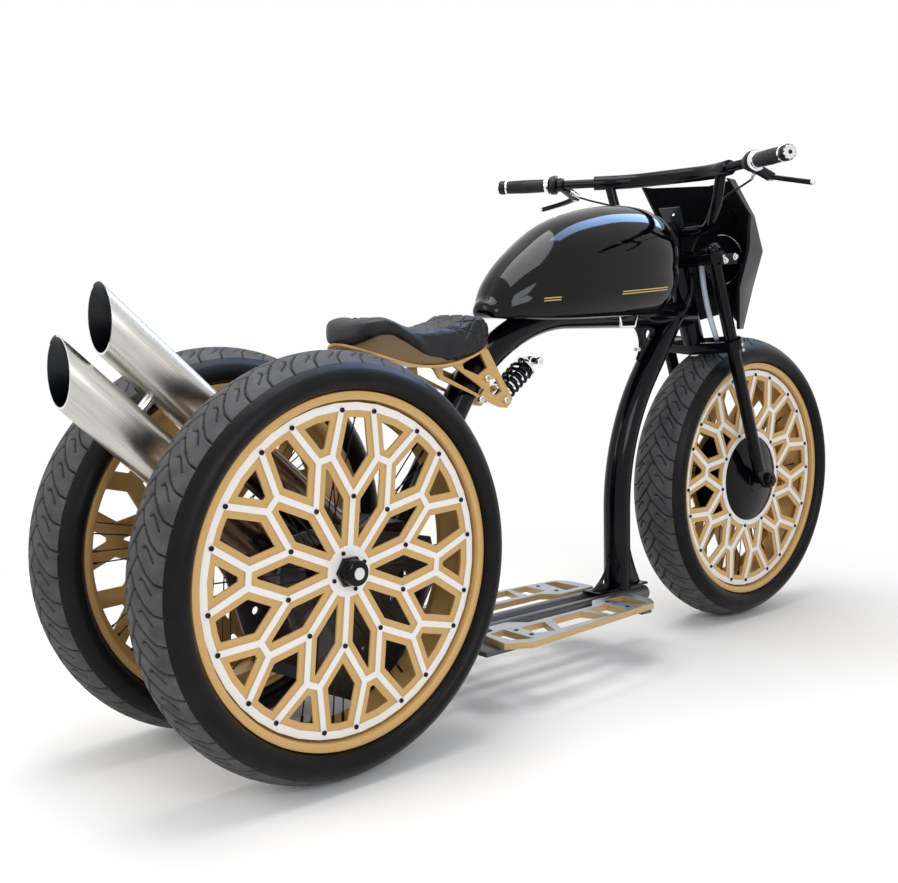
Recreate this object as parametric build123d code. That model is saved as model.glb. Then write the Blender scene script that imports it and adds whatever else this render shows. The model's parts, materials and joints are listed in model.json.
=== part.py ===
"""Motorized trike: one wheel in front, two close together behind, on a single-loop tube frame.

Millimetres. +X runs forward, +Y to the left, +Z up. While it is drawn, X = 0 is the rear axle;
each piece is written with the whole trike centred on the origin and its tyres on Z = 0.
"""

import os
from math import cos, hypot, pi, radians, sin, tan

from build123d import *

# ---------------------------------------------------------------- driving dimensions
# Wheels
wheelbase = 1465.0
rear_track = 366.0
tyre_radius = 370.0
tyre_width = 152.0
tyre_wall = 12.0
tyre_sides = 40  # flat panels round a tyre and its rim
crown_width = 118.0
crown_drop = 20.0
bead_radius = 292.0
bead_width = 104.0
flange_radius = 303.5
flange_lip = 7.0
rim_wall = 4.0
rim_well = 16.0
rim_well_width = 50.0
rim_step = 10.0

# Lattice discs in the wheels
disc_face = 47.6  # outer face of the white overlay from the wheel's centre plane
plate_thickness = 4.0
overlay_thickness = 2.5
disc_radius = 283.6
ring_width = 12.6
strip_width = 11.0
plate_margin = 12.0
lattice_count = 10
ring_seam = 0.9  # the overlay's ring seen past the outer nodes' line
inner_node_radius = 126.7
link_radius = 197.5
link_half_angle = 4.1
outer_node_radius = 271.9
outer_half_angle = 10.9
rear_disc_phase = 85.0
front_disc_phase = 80.2
hub_ring_radius = 44.0
front_ring_radius = 125.0
front_disc_bore = 112.0

# Hubs, wire spokes and axles
spindle_radius = 12.5
running_clearance = 0.05
hub_radius = 28.0
hub_flange_radius = 37.0
hub_flange_offset = 30.0
hub_flange_thickness = 5.0
hub_boss = 12.0
hub_nose_radius = 18.0
nose_clearance = 0.2
cap_radius = 25.0
cap_length = 30.0
cap_wall = 8.0
wire_radius = 1.8
wire_gap = 0.25
hub_sides = 24
wires_per_flange = 16
wire_lead = 9.0
dome_radius = 110.0
dome_height = 22.0
dome_crown_radius = 34.0

# Steering
rake = 22.0
axle_lead = 25.0  # the axle ahead of the legs, square to them
fork_offset = 20.0  # the legs ahead of the stem, square to it
steering_limit = 32.0
leg_spacing = 196.0
leg_radius = 16.0
leg_stand = 20.0  # the legs above the upper clamp
dropout_thickness = 14.0
axle_nub = 22.0
clamp_thickness = 26.0
upper_clamp_height = 930.0
lower_clamp_height = 718.0
clamp_eye_wall = 9.0
stem_radius = 15.0
head_tube_radius = 27.0
head_clearance = 0.5
axle_boss_radius = 22.0
dropout_rise = 30.0

# Handlebar
bar_radius = 11.0
bar_sleeve_radius = 17.5
bar_height = 1130.0
bar_lead = 50.6  # the bar ahead of the steering axis at its own height
bar_half_width = 416.0
bar_sleeve_half = 200.0
bar_sweep = 27.0
bar_bend_half = 120.0
bar_bend_radius = 180.0
riser_radius = 12.5
riser_spread = 168.0
riser_bend = 60.0
# Each bend of a riser: ahead of the steering axis at the upper clamp, to the side, above the clamp
riser_route = ((-45.0, 150.0, 125.0), (-20.0, 118.0, 90.0), (10.0, 80.0, 72.0), (4.0, 0.0, 67.0))
grip_radius = 17.0
grip_length = 125.0
grip_end_length = 12.0

# Frame
frame_tube_radius = 31.75
backbone_height = 799.0
rail_radius = 17.5
rail_gap = 8.5  # from the middle plane to a rail
rail_top = 145.0
gusset_thickness = 8.0
carrier_thickness = 8.0
carrier_half_width = 92.0
stub_radius = 20.0

# Engine and exhaust
engine_length = 205.0
engine_height = 260.0
engine_rear = 35.0
engine_gap = 4.0
pipe_radius = 44.0
pipe_wall = 3.0
pipe_angle = 42.0
pipe_mouths = ((-390.0, 710.0), (-318.0, 794.0))  # x, z of the lower and the upper mouth

# Seat and its swinging mount
seat_tail_x = 148.0
seat_tail_radius = 92.0
seat_nose_x = 522.0
seat_nose_radius = 76.0
seat_clearance = 3.0
seat_pan_thickness = 5.0
bracket_plane = 39.0
bracket_thickness = 6.0
# x, and height over the backbone's axis
bracket_pivot = (503.0, -130.0)
shock_lower = (565.0, -182.0)
shock_upper = (674.0, -101.0)
pin_radius = 6.0
shock_radius = 13.0
spring_radius = 22.5
spring_wire = 4.0
spring_turns = 5
collar_reach = 25.0  # from an eye's middle to the spring's seat
spring_steps = 12  # straight pieces to a turn

# Cables: routes as points from end to end
cord_bend_share = 0.45
lever_cable_radius = 2.5
tank_cable_radius = 3.0
socket_size = 12.0
hose_radius = 7.0
adjuster_radius = 4.0
lever_cable_route = (
    (1126, -257, 1100), (1134, -232, 1091), (1146, -200, 1082), (1163, -160, 1070), (1182, -118, 1052),
    (1202, -82, 1026), (1221, -50, 992), (1222, -33, 970), (1216, -30, 952),
)
tank_cable_route = (
    (1212, -33, 888), (1215, -33, 866), (1209, -35, 838), (1186, -39, 810), (1150, -43, 792),
    (1106, -45, 784), (1064, -45, 781), (1030, -44, 786), (1012, -44, 804),
)
hose_route = (
    (1219, -55, 930), (1227, -55, 888), (1238, -55, 848), (1254, -55, 806), (1274, -55, 768), (1293, -55, 734),
)

# Footboards
board_top = 146.0
board_thickness = 14.0

tunnel_gap = 3.0  # between the backbone and the tank's tunnel

# Tank sections: behind the head, half width, bottom and top over the backbone's axis
tank_sections = (
    (703.0, 36.0, -7.0, 31.0),
    (672.0, 60.0, -9.0, 79.0),
    (615.0, 85.0, -10.0, 134.0),
    (515.0, 110.0, -10.0, 200.0),
    (400.0, 121.0, -6.0, 236.0),
    (290.0, 122.0, -1.0, 251.0),
    (215.0, 112.0, 5.0, 250.0),
    (178.0, 96.0, 30.0, 238.0),
    (160.0, 74.0, 75.0, 215.0),
)

origin_x = (wheelbase + tyre_radius + pipe_mouths[0][0]) / 2
rake_tan = tan(radians(rake))
os.makedirs("parts", exist_ok=True)


def save(node, shape):
    """Writes one node, moved so that the trike is centred on the origin."""
    export_step(Pos(-origin_x, 0, 0) * shape, f"parts/{node}.step")


# ---------------------------------------------------------------- small makers
def polar(radius, angle):
    """A point at an angle in degrees, in the plane of a wheel."""
    return (radius * cos(radians(angle)), radius * sin(radians(angle)))


def turned(points, axis=Axis.Z):
    """A solid of revolution about Z from (radius, height) points."""
    outline = Polyline(*[(r, 0, z) for r, z in points], close=True)
    return revolve(make_face(outline), axis, 360)


def rod(start, end, radius, sides=0):
    """A round bar between two points, or a prism when it is given sides."""
    direction = Vector(*end) - Vector(*start)
    plane = Plane(origin=start, z_dir=direction)
    section = RegularPolygon(radius, sides) if sides else Circle(radius)
    return extrude(plane * section, direction.length)


def bent_tube(points, bend, radius):
    """A solid bar along straight runs joined by arcs."""
    path = FilletPolyline(*points, radius=bend) if len(points) > 2 else Line(*points)
    start = path @ 0
    return sweep(Plane(origin=start, z_dir=path % 0) * Circle(radius), path)


def side_plate(points, middle, thickness):
    """A plate standing along X, drawn as x, z points, centred on y = middle."""
    outline = Polyline(*[(x, middle, z) for x, z in points], close=True)
    return extrude(make_face(outline), thickness / 2, dir=(0, 1, 0), both=True)


def both_sides(shape):
    """The shape and its mirror image on the other side."""
    return shape + mirror(shape, Plane.XZ)


def flat_ring(points, sides):
    """A ring of flat panels about Z from (radius, height) points, counter-clockwise; a radius is
    measured to the middle of a panel."""
    reach = 1 / cos(pi / sides)
    rows = []
    for k in range(sides):
        ux, uy = polar(reach, 360 * (k + 0.5) / sides)
        rows.append([(r * ux, r * uy, z) for r, z in points])
    faces = []
    for k in range(sides):
        here, there = rows[k], rows[(k + 1) % sides]
        for i in range(len(points)):
            j = (i + 1) % len(points)
            corners = (here[i], there[i], there[j], here[j])
            faces.append(Face(Wire.make_polygon(corners, close=True)))
    return Solid(Shell(faces))


def skinned(rows):
    """A closed solid of flat triangles through rows of as many points each, capped at its ends.

    Rows that mirror themselves from end to end give a solid that mirrors itself too.
    """
    faces = []
    for low, high in zip(rows, rows[1:]):
        for i in range(len(low)):
            j = (i + 1) % len(low)
            if 2 * i < len(low) - 1:
                faces += [(low[i], low[j], high[j]), (low[i], high[j], high[i])]
            else:
                faces += [(low[i], low[j], high[i]), (low[j], high[j], high[i])]
    middle = len(rows[0]) // 2
    for end, turn in ((rows[0], -1), (rows[-1], 1)):
        for i in range(middle + 1, middle + len(end) - 1):
            one, two = end[i % len(end)], end[(i + 1) % len(end)]
            faces.append((end[middle], one, two)[::turn])
    return Solid(Shell([Face(Wire.make_polygon(points, close=True)) for points in faces]))


def cord(route, radius):
    """A cable along straight runs joined by arcs, each as large as its two runs allow."""
    points = [Vector(*point) for point in route]
    bends = []
    for before, here, after in zip(points, points[1:], points[2:]):
        shorter = min((here - before).length, (after - here).length)
        half_turn = radians((here - before).get_angle(after - here)) / 2
        bends.append(cord_bend_share * shorter / tan(half_turn))
    print("bend radii", [round(bend, 1) for bend in bends])
    path = FilletPolyline(*points, radius=bends)
    return sweep(Plane(origin=route[0], z_dir=path % 0) * RegularPolygon(radius, 8), path)


def biggest(shape):
    """The largest solid of a shape that a cut has left in pieces."""
    return shape.solids().sort_by(SortBy.VOLUME)[-1]


def inset(points, distances):
    """A convex polygon moved in by one distance for each edge."""
    count = len(points)
    lines = []
    for i, (x, y) in enumerate(points):
        nx, ny = points[(i + 1) % count]
        run = hypot(nx - x, ny - y)
        inward = ((y - ny) / run, (nx - x) / run)
        gap = distances[i]
        lines.append((x + inward[0] * gap, y + inward[1] * gap, (nx - x) / run, (ny - y) / run))
    corners = []
    for i, (x, y, dx, dy) in enumerate(lines):
        px, py, ex, ey = lines[i - 1]
        t = ((x - px) * dy - (y - py) * dx) / (ex * dy - ey * dx)
        corners.append((px + ex * t, py + ey * t))
    return corners


# ---------------------------------------------------------------- wheels
def both_edges(half):
    """A half section of (radius, height) points and its mirror image, as one loop."""
    return [(r, -z) for r, z in reversed(half)] + half


def tyre():
    """A hollow tyre: two beads, bulging side walls and a rounded crown."""
    half, bead, shoulder = tyre_width / 2, bead_width / 2 - 0.3, crown_width / 2
    heel, shoulder_radius = bead_radius + 0.3, tyre_radius - crown_drop
    bulge = (flange_radius + shoulder_radius) / 2 + 2
    outside = [
        (tyre_radius - crown_drop / 4, shoulder / 2),
        (shoulder_radius, shoulder),
        (bulge, half),
        ((flange_radius + bulge) / 2 - 2, half - 6),
        (flange_radius + 1.2, bead),
        (heel, bead),
    ]
    inside = [
        (heel, bead - tyre_wall),
        (bulge, half - tyre_wall),
        (tyre_radius - crown_drop / 4 - tyre_wall, shoulder / 2 - 2),
    ]
    loop = [(tyre_radius, 0)] + outside + inside
    return flat_ring(loop + [(r, -z) for r, z in reversed(outside + inside)], tyre_sides)


def rim():
    """A dropped-centre rim with a lip on each side."""
    bead, flange = bead_width / 2, bead_width / 2 + flange_lip
    well, half_well = bead_radius - rim_well, rim_well_width / 2
    half = [
        (well, half_well),
        (bead_radius, half_well + rim_step),
        (bead_radius, bead),
        (flange_radius, bead),
        (flange_radius, flange),
        (bead_radius - rim_wall, flange),
        (bead_radius - rim_wall, half_well + rim_step + 2),
        (well - rim_wall, half_well),
    ]
    return flat_ring(both_edges(half), tyre_sides)


def lattice_cells(phase):
    """Outlines of the cells between the strips' centre lines, counter-clockwise, each with the
    kind of every edge: a strip or the outer ring."""
    step = 360 / lattice_count
    half = step / 2
    cells = []
    for k in range(lattice_count):
        node = phase - step * k
        link = node + half
        inner_a, inner_b = polar(inner_node_radius, node), polar(inner_node_radius, node + step)
        low = polar(link_radius, link - link_half_angle)
        high = polar(link_radius, link + link_half_angle)
        cells.append(([(0, 0), inner_a, low, high, inner_b], ["strip"] * 5))
        before = polar(link_radius, node - half + link_half_angle)
        outer_a = polar(outer_node_radius, node - half + outer_half_angle)
        outer_b = polar(outer_node_radius, link - outer_half_angle)
        crest = polar(outer_node_radius, node)
        corners = [inner_a, before, outer_a, crest, outer_b, low]
        cells.append((corners, ["strip", "strip", "ring", "ring", "strip", "strip"]))
        flank_a = polar(outer_node_radius, link - outer_half_angle)
        flank_b = polar(outer_node_radius, link + outer_half_angle)
        crest = polar(outer_node_radius, link)
        cells.append(([low, flank_a, crest, flank_b, high], ["strip", "ring", "ring", "strip", "strip"]))
    return cells


def lattice(phase, bore, core, margin, thickness):
    """A round plate with every cell cut out of it, each edge set in by margin from the strips.

    core is the radius of the solid middle, which no cell enters.
    """
    outline = Rot(0, 0, 180 / tyre_sides) * RegularPolygon(disc_radius / cos(pi / tyre_sides), tyre_sides)
    plate = outline - Circle(bore)
    gaps = {"strip": strip_width / 2 + margin, "ring": margin + ring_seam}
    keep = Circle(disc_radius) - Circle(core + margin)
    for corners, kinds in lattice_cells(phase):
        cell = make_face(Polyline(*inset(corners, [gaps[kind] for kind in kinds]), close=True))
        plate -= cell & keep
    return extrude(plate, thickness)


def to_flat(radius, angle, sides):
    """How far out a ring of flats lies at an angle, its radius measured square to the flats."""
    step = 360 / sides
    return radius / cos(radians((angle + step / 2) % step - step / 2))


def wires():
    """Wire spokes from both hub flanges to the rim well, leaning forward and back by turns."""
    step = 360 / wires_per_flange
    rim_inside = bead_radius - rim_well - rim_wall
    height = hub_flange_offset - hub_flange_thickness / 2
    out = []
    for side_sign in (1, -1):
        for i in range(wires_per_flange):
            angle = step * (i + (0.5 if side_sign < 0 else 0))
            lean = wire_lead * (1 if i % 2 else -1)
            x0, y0 = polar(to_flat(hub_flange_radius, angle, hub_sides) + 2 * wire_gap, angle)
            x1, y1 = polar(to_flat(rim_inside, angle + lean, tyre_sides) - 2 * wire_gap, angle + lean)
            out.append(rod((x0, y0, side_sign * height), (x1, y1, side_sign * 9.0), wire_radius, 3))
    return out


seat_z = disc_face - overlay_thickness - plate_thickness  # where a disc sits on its hub
cap_start = disc_face
cap_end = cap_start + cap_length


def rear_hub():
    """Rear hub: barrel, two wire flanges, a seat for the disc and a closed cap outside."""
    bore = spindle_radius + running_clearance
    f0, f1 = hub_flange_offset - hub_flange_thickness, hub_flange_offset
    points = [
        (bore, -f1 - hub_boss),
        (hub_radius, -f1 - hub_boss),
        (hub_radius, -f1),
        (hub_flange_radius, -f1),
        (hub_flange_radius, -f0),
        (hub_radius, -f0),
        (hub_radius, f0),
        (hub_flange_radius, f0),
        (hub_flange_radius, f1),
        (hub_ring_radius, f1 + 3),
        (hub_ring_radius, seat_z),
        (hub_nose_radius, seat_z),
        (hub_nose_radius, cap_start),
        (cap_radius, cap_start),
        (cap_radius, cap_end - 5),
        (cap_radius - 5, cap_end),
        (bore, cap_end),
    ]
    lid = Pos(0, 0, cap_end - cap_wall) * extrude(RegularPolygon(bore + 2, hub_sides), cap_wall)
    return [flat_ring(points, hub_sides) + lid] + wires()


def front_hub():
    """Front hub: wire flanges between two black domes that fill the discs' centres."""
    bore = spindle_radius + running_clearance
    f0, f1 = hub_flange_offset - hub_flange_thickness, hub_flange_offset
    half = [
        (hub_radius, f0),
        (hub_flange_radius, f0),
        (hub_flange_radius, f1),
        (front_ring_radius - 3, seat_z - 4),
        (front_ring_radius - 3, seat_z),
        (dome_radius, seat_z),
        (dome_radius, disc_face + 2),
        (dome_radius - 14, disc_face + 9),
        (dome_crown_radius, disc_face + dome_height),
        (bore, disc_face + dome_height),
    ]
    return [flat_ring(both_edges(half), hub_sides)] + wires()


def disc_pair(phase, bore, core):
    """The gold plate and the white overlay on it, as they lie on the outboard side."""
    plate = lattice(phase, bore, core, plate_margin, plate_thickness)
    overlay = lattice(phase, bore, core, 0.0, overlay_thickness)
    return Pos(0, 0, seat_z) * plate, Pos(0, 0, seat_z + plate_thickness) * overlay


def place_right(shape, x, y):
    """Stands a wheel piece, or a list of them, up with its outboard side to the right."""
    solids = shape if isinstance(shape, list) else [shape]
    placed = [Pos(x, y, tyre_radius) * Rot(90, 0, 0) * solid for solid in solids]
    return placed[0] if len(placed) == 1 else Compound(placed)


tyre_solid = tyre()
rim_solid = rim()
rear_hub_solid = rear_hub()
rear_plate, rear_overlay = disc_pair(rear_disc_phase, hub_nose_radius + nose_clearance, hub_ring_radius)
rear_pieces = {
    "tyre": tyre_solid,
    "rim": rim_solid,
    "hub": rear_hub_solid,
    "lattice": rear_plate,
    "overlay": rear_overlay,
}
for piece, solid in rear_pieces.items():
    right = place_right(solid, 0, -rear_track / 2)
    save(f"rear_right_{piece}", right)
    save(f"rear_left_{piece}", mirror(right, Plane.XZ))

front_plate, front_overlay = disc_pair(front_disc_phase, front_disc_bore, front_ring_radius)
save("front_tyre", place_right(tyre_solid, wheelbase, 0))
save("front_rim", place_right(rim_solid, wheelbase, 0))
save("front_hub", place_right(front_hub(), wheelbase, 0))
save("front_lattice", both_sides(place_right(front_plate, wheelbase, 0)))
save("front_overlay", both_sides(place_right(front_overlay, wheelbase, 0)))


# ---------------------------------------------------------------- steering head and fork
rake_cos = cos(radians(rake))
steer_dir = Vector(-sin(radians(rake)), 0, rake_cos)
leg_half = leg_spacing / 2
leg_top_height = upper_clamp_height + leg_stand


def on_legs(z, y=0.0):
    """The point of the fork legs' line at height z, behind the axle."""
    return (wheelbase - axle_lead / rake_cos - (z - tyre_radius) * rake_tan, y, z)


def on_stem(z, y=0.0):
    """The point of the steering axis at height z, behind the legs."""
    return (on_legs(z)[0] - fork_offset / rake_cos, y, z)


def across(z):
    """A plane square to the steering axis: its X is the trike's left, its Y points back."""
    return Plane(origin=on_stem(z), x_dir=(0, 1, 0), z_dir=steer_dir)


def fork_legs():
    """Two round legs with domed tops, each on a plate that reaches forward to the axle."""
    foot_height = tyre_radius + dropout_rise
    foot, top = on_legs(foot_height, -leg_half), on_legs(leg_top_height, -leg_half)
    leg = rod(foot, top, leg_radius) + Pos(*top) * Sphere(leg_radius)
    foot_eye = Pos(foot[0], foot_height) * Circle(leg_radius)
    axle_eye = Pos(wheelbase, tyre_radius) * Circle(axle_boss_radius)
    outline = make_hull(foot_eye.edges() + axle_eye.edges())
    outline -= Pos(wheelbase, tyre_radius) * Circle(spindle_radius + running_clearance)
    plane = Plane(origin=(0, -leg_half, 0), x_dir=(1, 0, 0), z_dir=(0, -1, 0))
    return both_sides(leg + extrude(plane * outline, dropout_thickness / 2, both=True))


def fork_clamp(z):
    """A yoke square to the stem: an eye round each leg and one round the stem."""
    # The legs lie ahead of the stem, on the plane's negative Y.
    outline = Sketch()
    for side in (1, -1):
        leg_eye = Pos(side * leg_half, -fork_offset) * Circle(leg_radius + clamp_eye_wall)
        stem_eye = Circle(stem_radius + clamp_eye_wall)
        outline += make_hull(leg_eye.edges() + stem_eye.edges())
    for side in (1, -1):
        outline -= Pos(side * leg_half, -fork_offset) * Circle(leg_radius + 0.1)
    outline -= Circle(stem_radius + 0.1)
    return extrude(across(z) * outline, clamp_thickness / 2, both=True)


half_clamp = clamp_thickness / 2 * rake_cos  # half a clamp's height along the upright
stem_top = upper_clamp_height + half_clamp
head_bottom = lower_clamp_height + half_clamp + head_clearance
head_top = upper_clamp_height - half_clamp - head_clearance


def stem():
    """The steering stem through both clamps, in the head tube."""
    return rod(on_stem(lower_clamp_height - half_clamp), on_stem(stem_top), stem_radius)


def head_tube():
    """The frame's head, bored for the stem and standing clear of both clamps."""
    ends = on_stem(head_bottom), on_stem(head_top)
    x, y, z = tank_cable_route[0]
    socket = Pos(x, y + socket_size / 4, z + socket_size / 2) * Box(socket_size, socket_size, socket_size)
    return rod(*ends, head_tube_radius) + socket - rod(*ends, stem_radius + running_clearance)


upper_clamp_solid = fork_clamp(upper_clamp_height)
lower_clamp_solid = fork_clamp(lower_clamp_height)
save("fork_legs", fork_legs())
save("upper_clamp", upper_clamp_solid)
save("lower_clamp", lower_clamp_solid)
save("fork_hose", cord(hose_route, hose_radius) - upper_clamp_solid - lower_clamp_solid)
save("steering_stem", stem())
front_spindle_half = leg_half + axle_nub
spindle = Cylinder(spindle_radius, 2 * front_spindle_half)
save("front_axle", Pos(wheelbase, 0, tyre_radius) * Rot(90, 0, 0) * spindle)


# ---------------------------------------------------------------- handlebar
sweep_tan = tan(radians(bar_sweep))
bar_x = on_stem(bar_height)[0] + bar_lead
clamp_x = on_stem(upper_clamp_height)[0]


def bar_point(y):
    """A point of the handlebar's line at distance y from the middle."""
    return (bar_x - max(0.0, abs(y) - bar_bend_half) * sweep_tan, y, bar_height)


def handlebar():
    """The bar with its thick middle sleeve, and two risers that bend in to the stem clamp."""
    corners = [bar_point(y) for y in (-bar_half_width, -bar_bend_half, bar_bend_half, bar_half_width)]
    thin = bent_tube(corners, bar_bend_radius, bar_radius)
    ends = [bar_point(y) for y in (-bar_sleeve_half, -bar_bend_half, bar_bend_half, bar_sleeve_half)]
    thick = bent_tube(ends, bar_bend_radius, bar_sleeve_radius)
    route = [(clamp_x + ahead, y, upper_clamp_height + up) for ahead, y, up in riser_route]
    riser = bent_tube([bar_point(riser_spread)] + route, riser_bend, riser_radius)
    perch = rod(on_stem(stem_top), on_stem(route[-1][2] + riser_radius + 6), stem_radius + 8)
    return thin + thick + both_sides(riser) + perch


def grips():
    """Two grips closed by alloy bar ends, sleeved over the bar."""
    tip, inner = Vector(*bar_point(-bar_half_width)), Vector(*bar_point(-bar_half_width + 60))
    along = (tip - inner).normalized()
    start = tip - along * grip_length
    sleeve = rod(start, tip, grip_radius) - rod(start, tip, bar_radius + 0.1)
    cap = rod(tip, tip + along * grip_end_length, grip_radius)
    return both_sides(sleeve + cap)


def levers():
    """A clamp, a perch and a lever blade ahead of each grip."""
    at = Vector(*bar_point(-(bar_half_width - grip_length - 18)))
    outer = Vector(*bar_point(-bar_half_width))
    along = (outer - at).normalized()
    ring = rod(at, at + along * 14, bar_radius + 7, 16)
    knuckle = at + Vector(68, -17, -27)
    body = rod(at + along * 7 + Vector(10, 0, -6), knuckle, 9, 12)
    bend = at + Vector(72, -70, -38)
    blade = rod(knuckle, bend, 5.5, 8) + rod(bend, at + Vector(58, -128, -50), 5.5, 8)
    bar_space = rod(at - along * 40, outer, bar_radius + 0.1)
    adjuster = rod(at + Vector(24, -4, -14), lever_cable_route[0], adjuster_radius, 8)
    return both_sides(biggest(ring + body + blade + adjuster - bar_space))


save("handlebar", handlebar())
save("grips", grips())
save("levers", levers())
lever_cable = cord(lever_cable_route, lever_cable_radius) - upper_clamp_solid
save("lever_cables", both_sides(biggest(lever_cable - levers())))

# Fairing levels, over the upper clamp and ahead of the stem there:
# (height, rear edge x, rear edge y, side x, side y, ridge x, ridge height)
fairing_levels = (
    (-168.0, 100.0, 122.0, 130.0, 113.0, 232.0, -125.0),
    (-68.0, 85.0, 130.0, 178.0, 106.0, 248.0, -68.0),
    (25.0, 108.0, 140.0, 198.0, 120.0, 280.0, 25.0),
    (107.0, 112.0, 140.0, 140.0, 132.0, 242.0, 107.0),
    (191.0, 27.0, 130.0, 65.0, 124.0, 140.0, 191.0),
)
fairing_wall = 4.0
stay_thickness = 5.0
stay_width = 26.0


def fairing_row(z, edge_x, edge_y, side_x, side_y, ridge_x, ridge_z):
    """Five points round the front of one level, from the right edge to the left."""
    right = [(edge_x, -edge_y, z), (side_x, -side_y, z)]
    left = [(x, -y, height) for x, y, height in reversed(right)]
    points = right + [(ridge_x, 0, ridge_z)] + left
    return [(clamp_x + x, y, upper_clamp_height + height) for x, y, height in points]


def fairing():
    """A faceted shell round the lamp and the legs, open above, below and behind."""
    inside = []
    wall = fairing_wall
    for i, (z, edge_x, edge_y, side_x, side_y, ridge_x, ridge_z) in enumerate(fairing_levels):
        lift = -16 if i == 0 else 1 if i == len(fairing_levels) - 1 else 0
        inside.append((z + lift, edge_x - 30, edge_y - wall, side_x - wall, side_y - wall,
                       ridge_x - 2 * wall, ridge_z + lift))
    return skinned([fairing_row(*row) for row in fairing_levels]) - skinned([fairing_row(*row) for row in inside])


def fairing_stays(shell, clamp):
    """A flat bar on each side, from the upper clamp's eye forward to the fairing's wall."""
    y = leg_half + leg_radius + clamp_eye_wall - stay_thickness / 2
    x, z = on_legs(upper_clamp_height)[0], upper_clamp_height
    outline = [(x - 8, z - 14), (x + 160, z - 2), (x + 160, z - 2 + stay_width), (x - 8, z + stay_width - 14)]
    bar = side_plate(outline, -y, stay_thickness)
    return both_sides(biggest(bar - shell - clamp))


lamp_lead = 180.0  # ahead of the stem at the upper clamp
lamp_rise = 8.0
lamp_radius = 64.0
lamp_stalk_radius = 8.0
lamp_stalk_rise = 14.0
# Along the lamp from its centre, and the radius there
lamp_profile = ((-56.0, 24.0), (-44.0, 44.0), (-18.0, 60.0), (4.0, 64.0), (14.0, 64.0), (20.0, 54.0))


def lamp(clamp):
    """A bullet lamp on a stalk from the upper clamp."""
    x, z = clamp_x + lamp_lead, upper_clamp_height + lamp_rise
    rows = []
    for ahead, radius in lamp_profile:
        spots = [polar(radius * lamp_radius / lamp_profile[3][1], 360 * k / hub_sides) for k in range(hub_sides)]
        rows.append([(x + ahead, across_y, z + up) for across_y, up in spots])
    foot = (clamp_x + stem_radius + clamp_eye_wall - 3, 0, upper_clamp_height + lamp_stalk_rise)
    stalk = rod(foot, (x - 40, 0, z), lamp_stalk_radius, 12)
    return biggest(skinned(rows) + stalk - clamp)


fairing_solid = fairing()
save("fairing", fairing_solid)
save("fairing_stays", fairing_stays(fairing_solid, upper_clamp_solid))
save("lamp", lamp(upper_clamp_solid))

# ---------------------------------------------------------------- frame tubes
rail_axis = rail_top - rail_radius
head_x = on_stem(backbone_height)[0]
backbone_path = [
    (head_x, 0, backbone_height),
    (705.0, 0, backbone_height),
    (511.0, 0, backbone_height - 93.0),
    (150.0, 0, rail_axis),
]
backbone_bend = 400.0
down_foot_x = head_x - 263.0
down_path = [
    (head_x - 51.0, 0, backbone_height + 19.0),
    (head_x - 271.0, 0, backbone_height - 287.0),
    (down_foot_x, 0, rail_axis),
]
down_bend = 530.0
rail_front = down_foot_x + 70.0
pad_reach = 24.0  # half the length of a tank pad
pad_half_width = 12.0
pads_behind_head = (415.0, 240.0)
backbone_straight = 440.0  # its length before its bend
cross_low_radius = 20.0
cross_high_radius = 13.0
cross_high_height = 330.0


def on_backbone(z):
    """The point of the backbone's lower straight run at height z."""
    (x0, _, z0), (x1, _, z1) = backbone_path[-2:]
    return (x0 + (x1 - x0) * (z - z0) / (z1 - z0), 0, z)


def crossbar(x, z, radius):
    """A tube across the frame between the carrier's plates."""
    inner = carrier_half_width - carrier_thickness / 2
    return rod((x, -inner, z), (x, inner, z), radius)


cross_low = on_backbone(rail_axis)[0], rail_axis
cross_high = on_backbone(cross_high_height)[0], cross_high_height


def crossbars():
    """Both of the rear carrier's tubes."""
    return crossbar(*cross_low, cross_low_radius) + crossbar(*cross_high, cross_high_radius)


def over_backbone(point):
    """A point of the side view whose height is given over the backbone's axis."""
    return (point[0], backbone_height + point[1])


def pivot_pin(radius):
    """The bolt through the backbone that carries the seat's brackets."""
    x, z = over_backbone(bracket_pivot)
    reach = bracket_plane + bracket_thickness / 2 + 4
    return rod((x, -reach, z), (x, reach, z), radius)


def head_bore():
    """Room for the head tube through whatever meets it."""
    return rod(on_stem(head_bottom - 20), on_stem(head_top + 20), head_tube_radius)


def rails(gap, front):
    """Two tubes side by side, each gap from the middle plane."""
    y = rail_radius + gap
    rail = rod((cross_low[0], -y, rail_axis), (front, -y, rail_axis), rail_radius)
    return both_sides(rail)


def tank_pads():
    """Two welded pads on the backbone, up to the tank's tunnel."""
    reach = frame_tube_radius + tunnel_gap
    low = backbone_height + frame_tube_radius / 2
    pads = []
    for behind in pads_behind_head:
        x = head_x - behind
        round_top = rod((x - pad_reach, 0, backbone_height), (x + pad_reach, 0, backbone_height), reach)
        pads.append(round_top & Pos(x, 0, low + reach / 2) * Box(2 * pad_reach, 2 * pad_half_width, reach))
    return pads


def backbone():
    """The top tube, from the head down behind the seat to the floor rails."""
    tube = bent_tube(backbone_path, backbone_bend, frame_tube_radius) + tank_pads()
    return tube - head_bore() - crossbars() - rails(rail_gap, rail_front) - pivot_pin(pin_radius + running_clearance)


def down_tube():
    """The bowed front tube, from the head to the floor rails."""
    tube = bent_tube(down_path, down_bend, frame_tube_radius)
    cut = tube - head_bore() - bent_tube(backbone_path, backbone_bend, frame_tube_radius) - rails(rail_gap, rail_front)
    return biggest(cut)


def floor_rails():
    """Two tubes under the rider's feet, from the rear carrier to the front tube."""
    return rails(rail_gap, rail_front) - crossbars()


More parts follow.
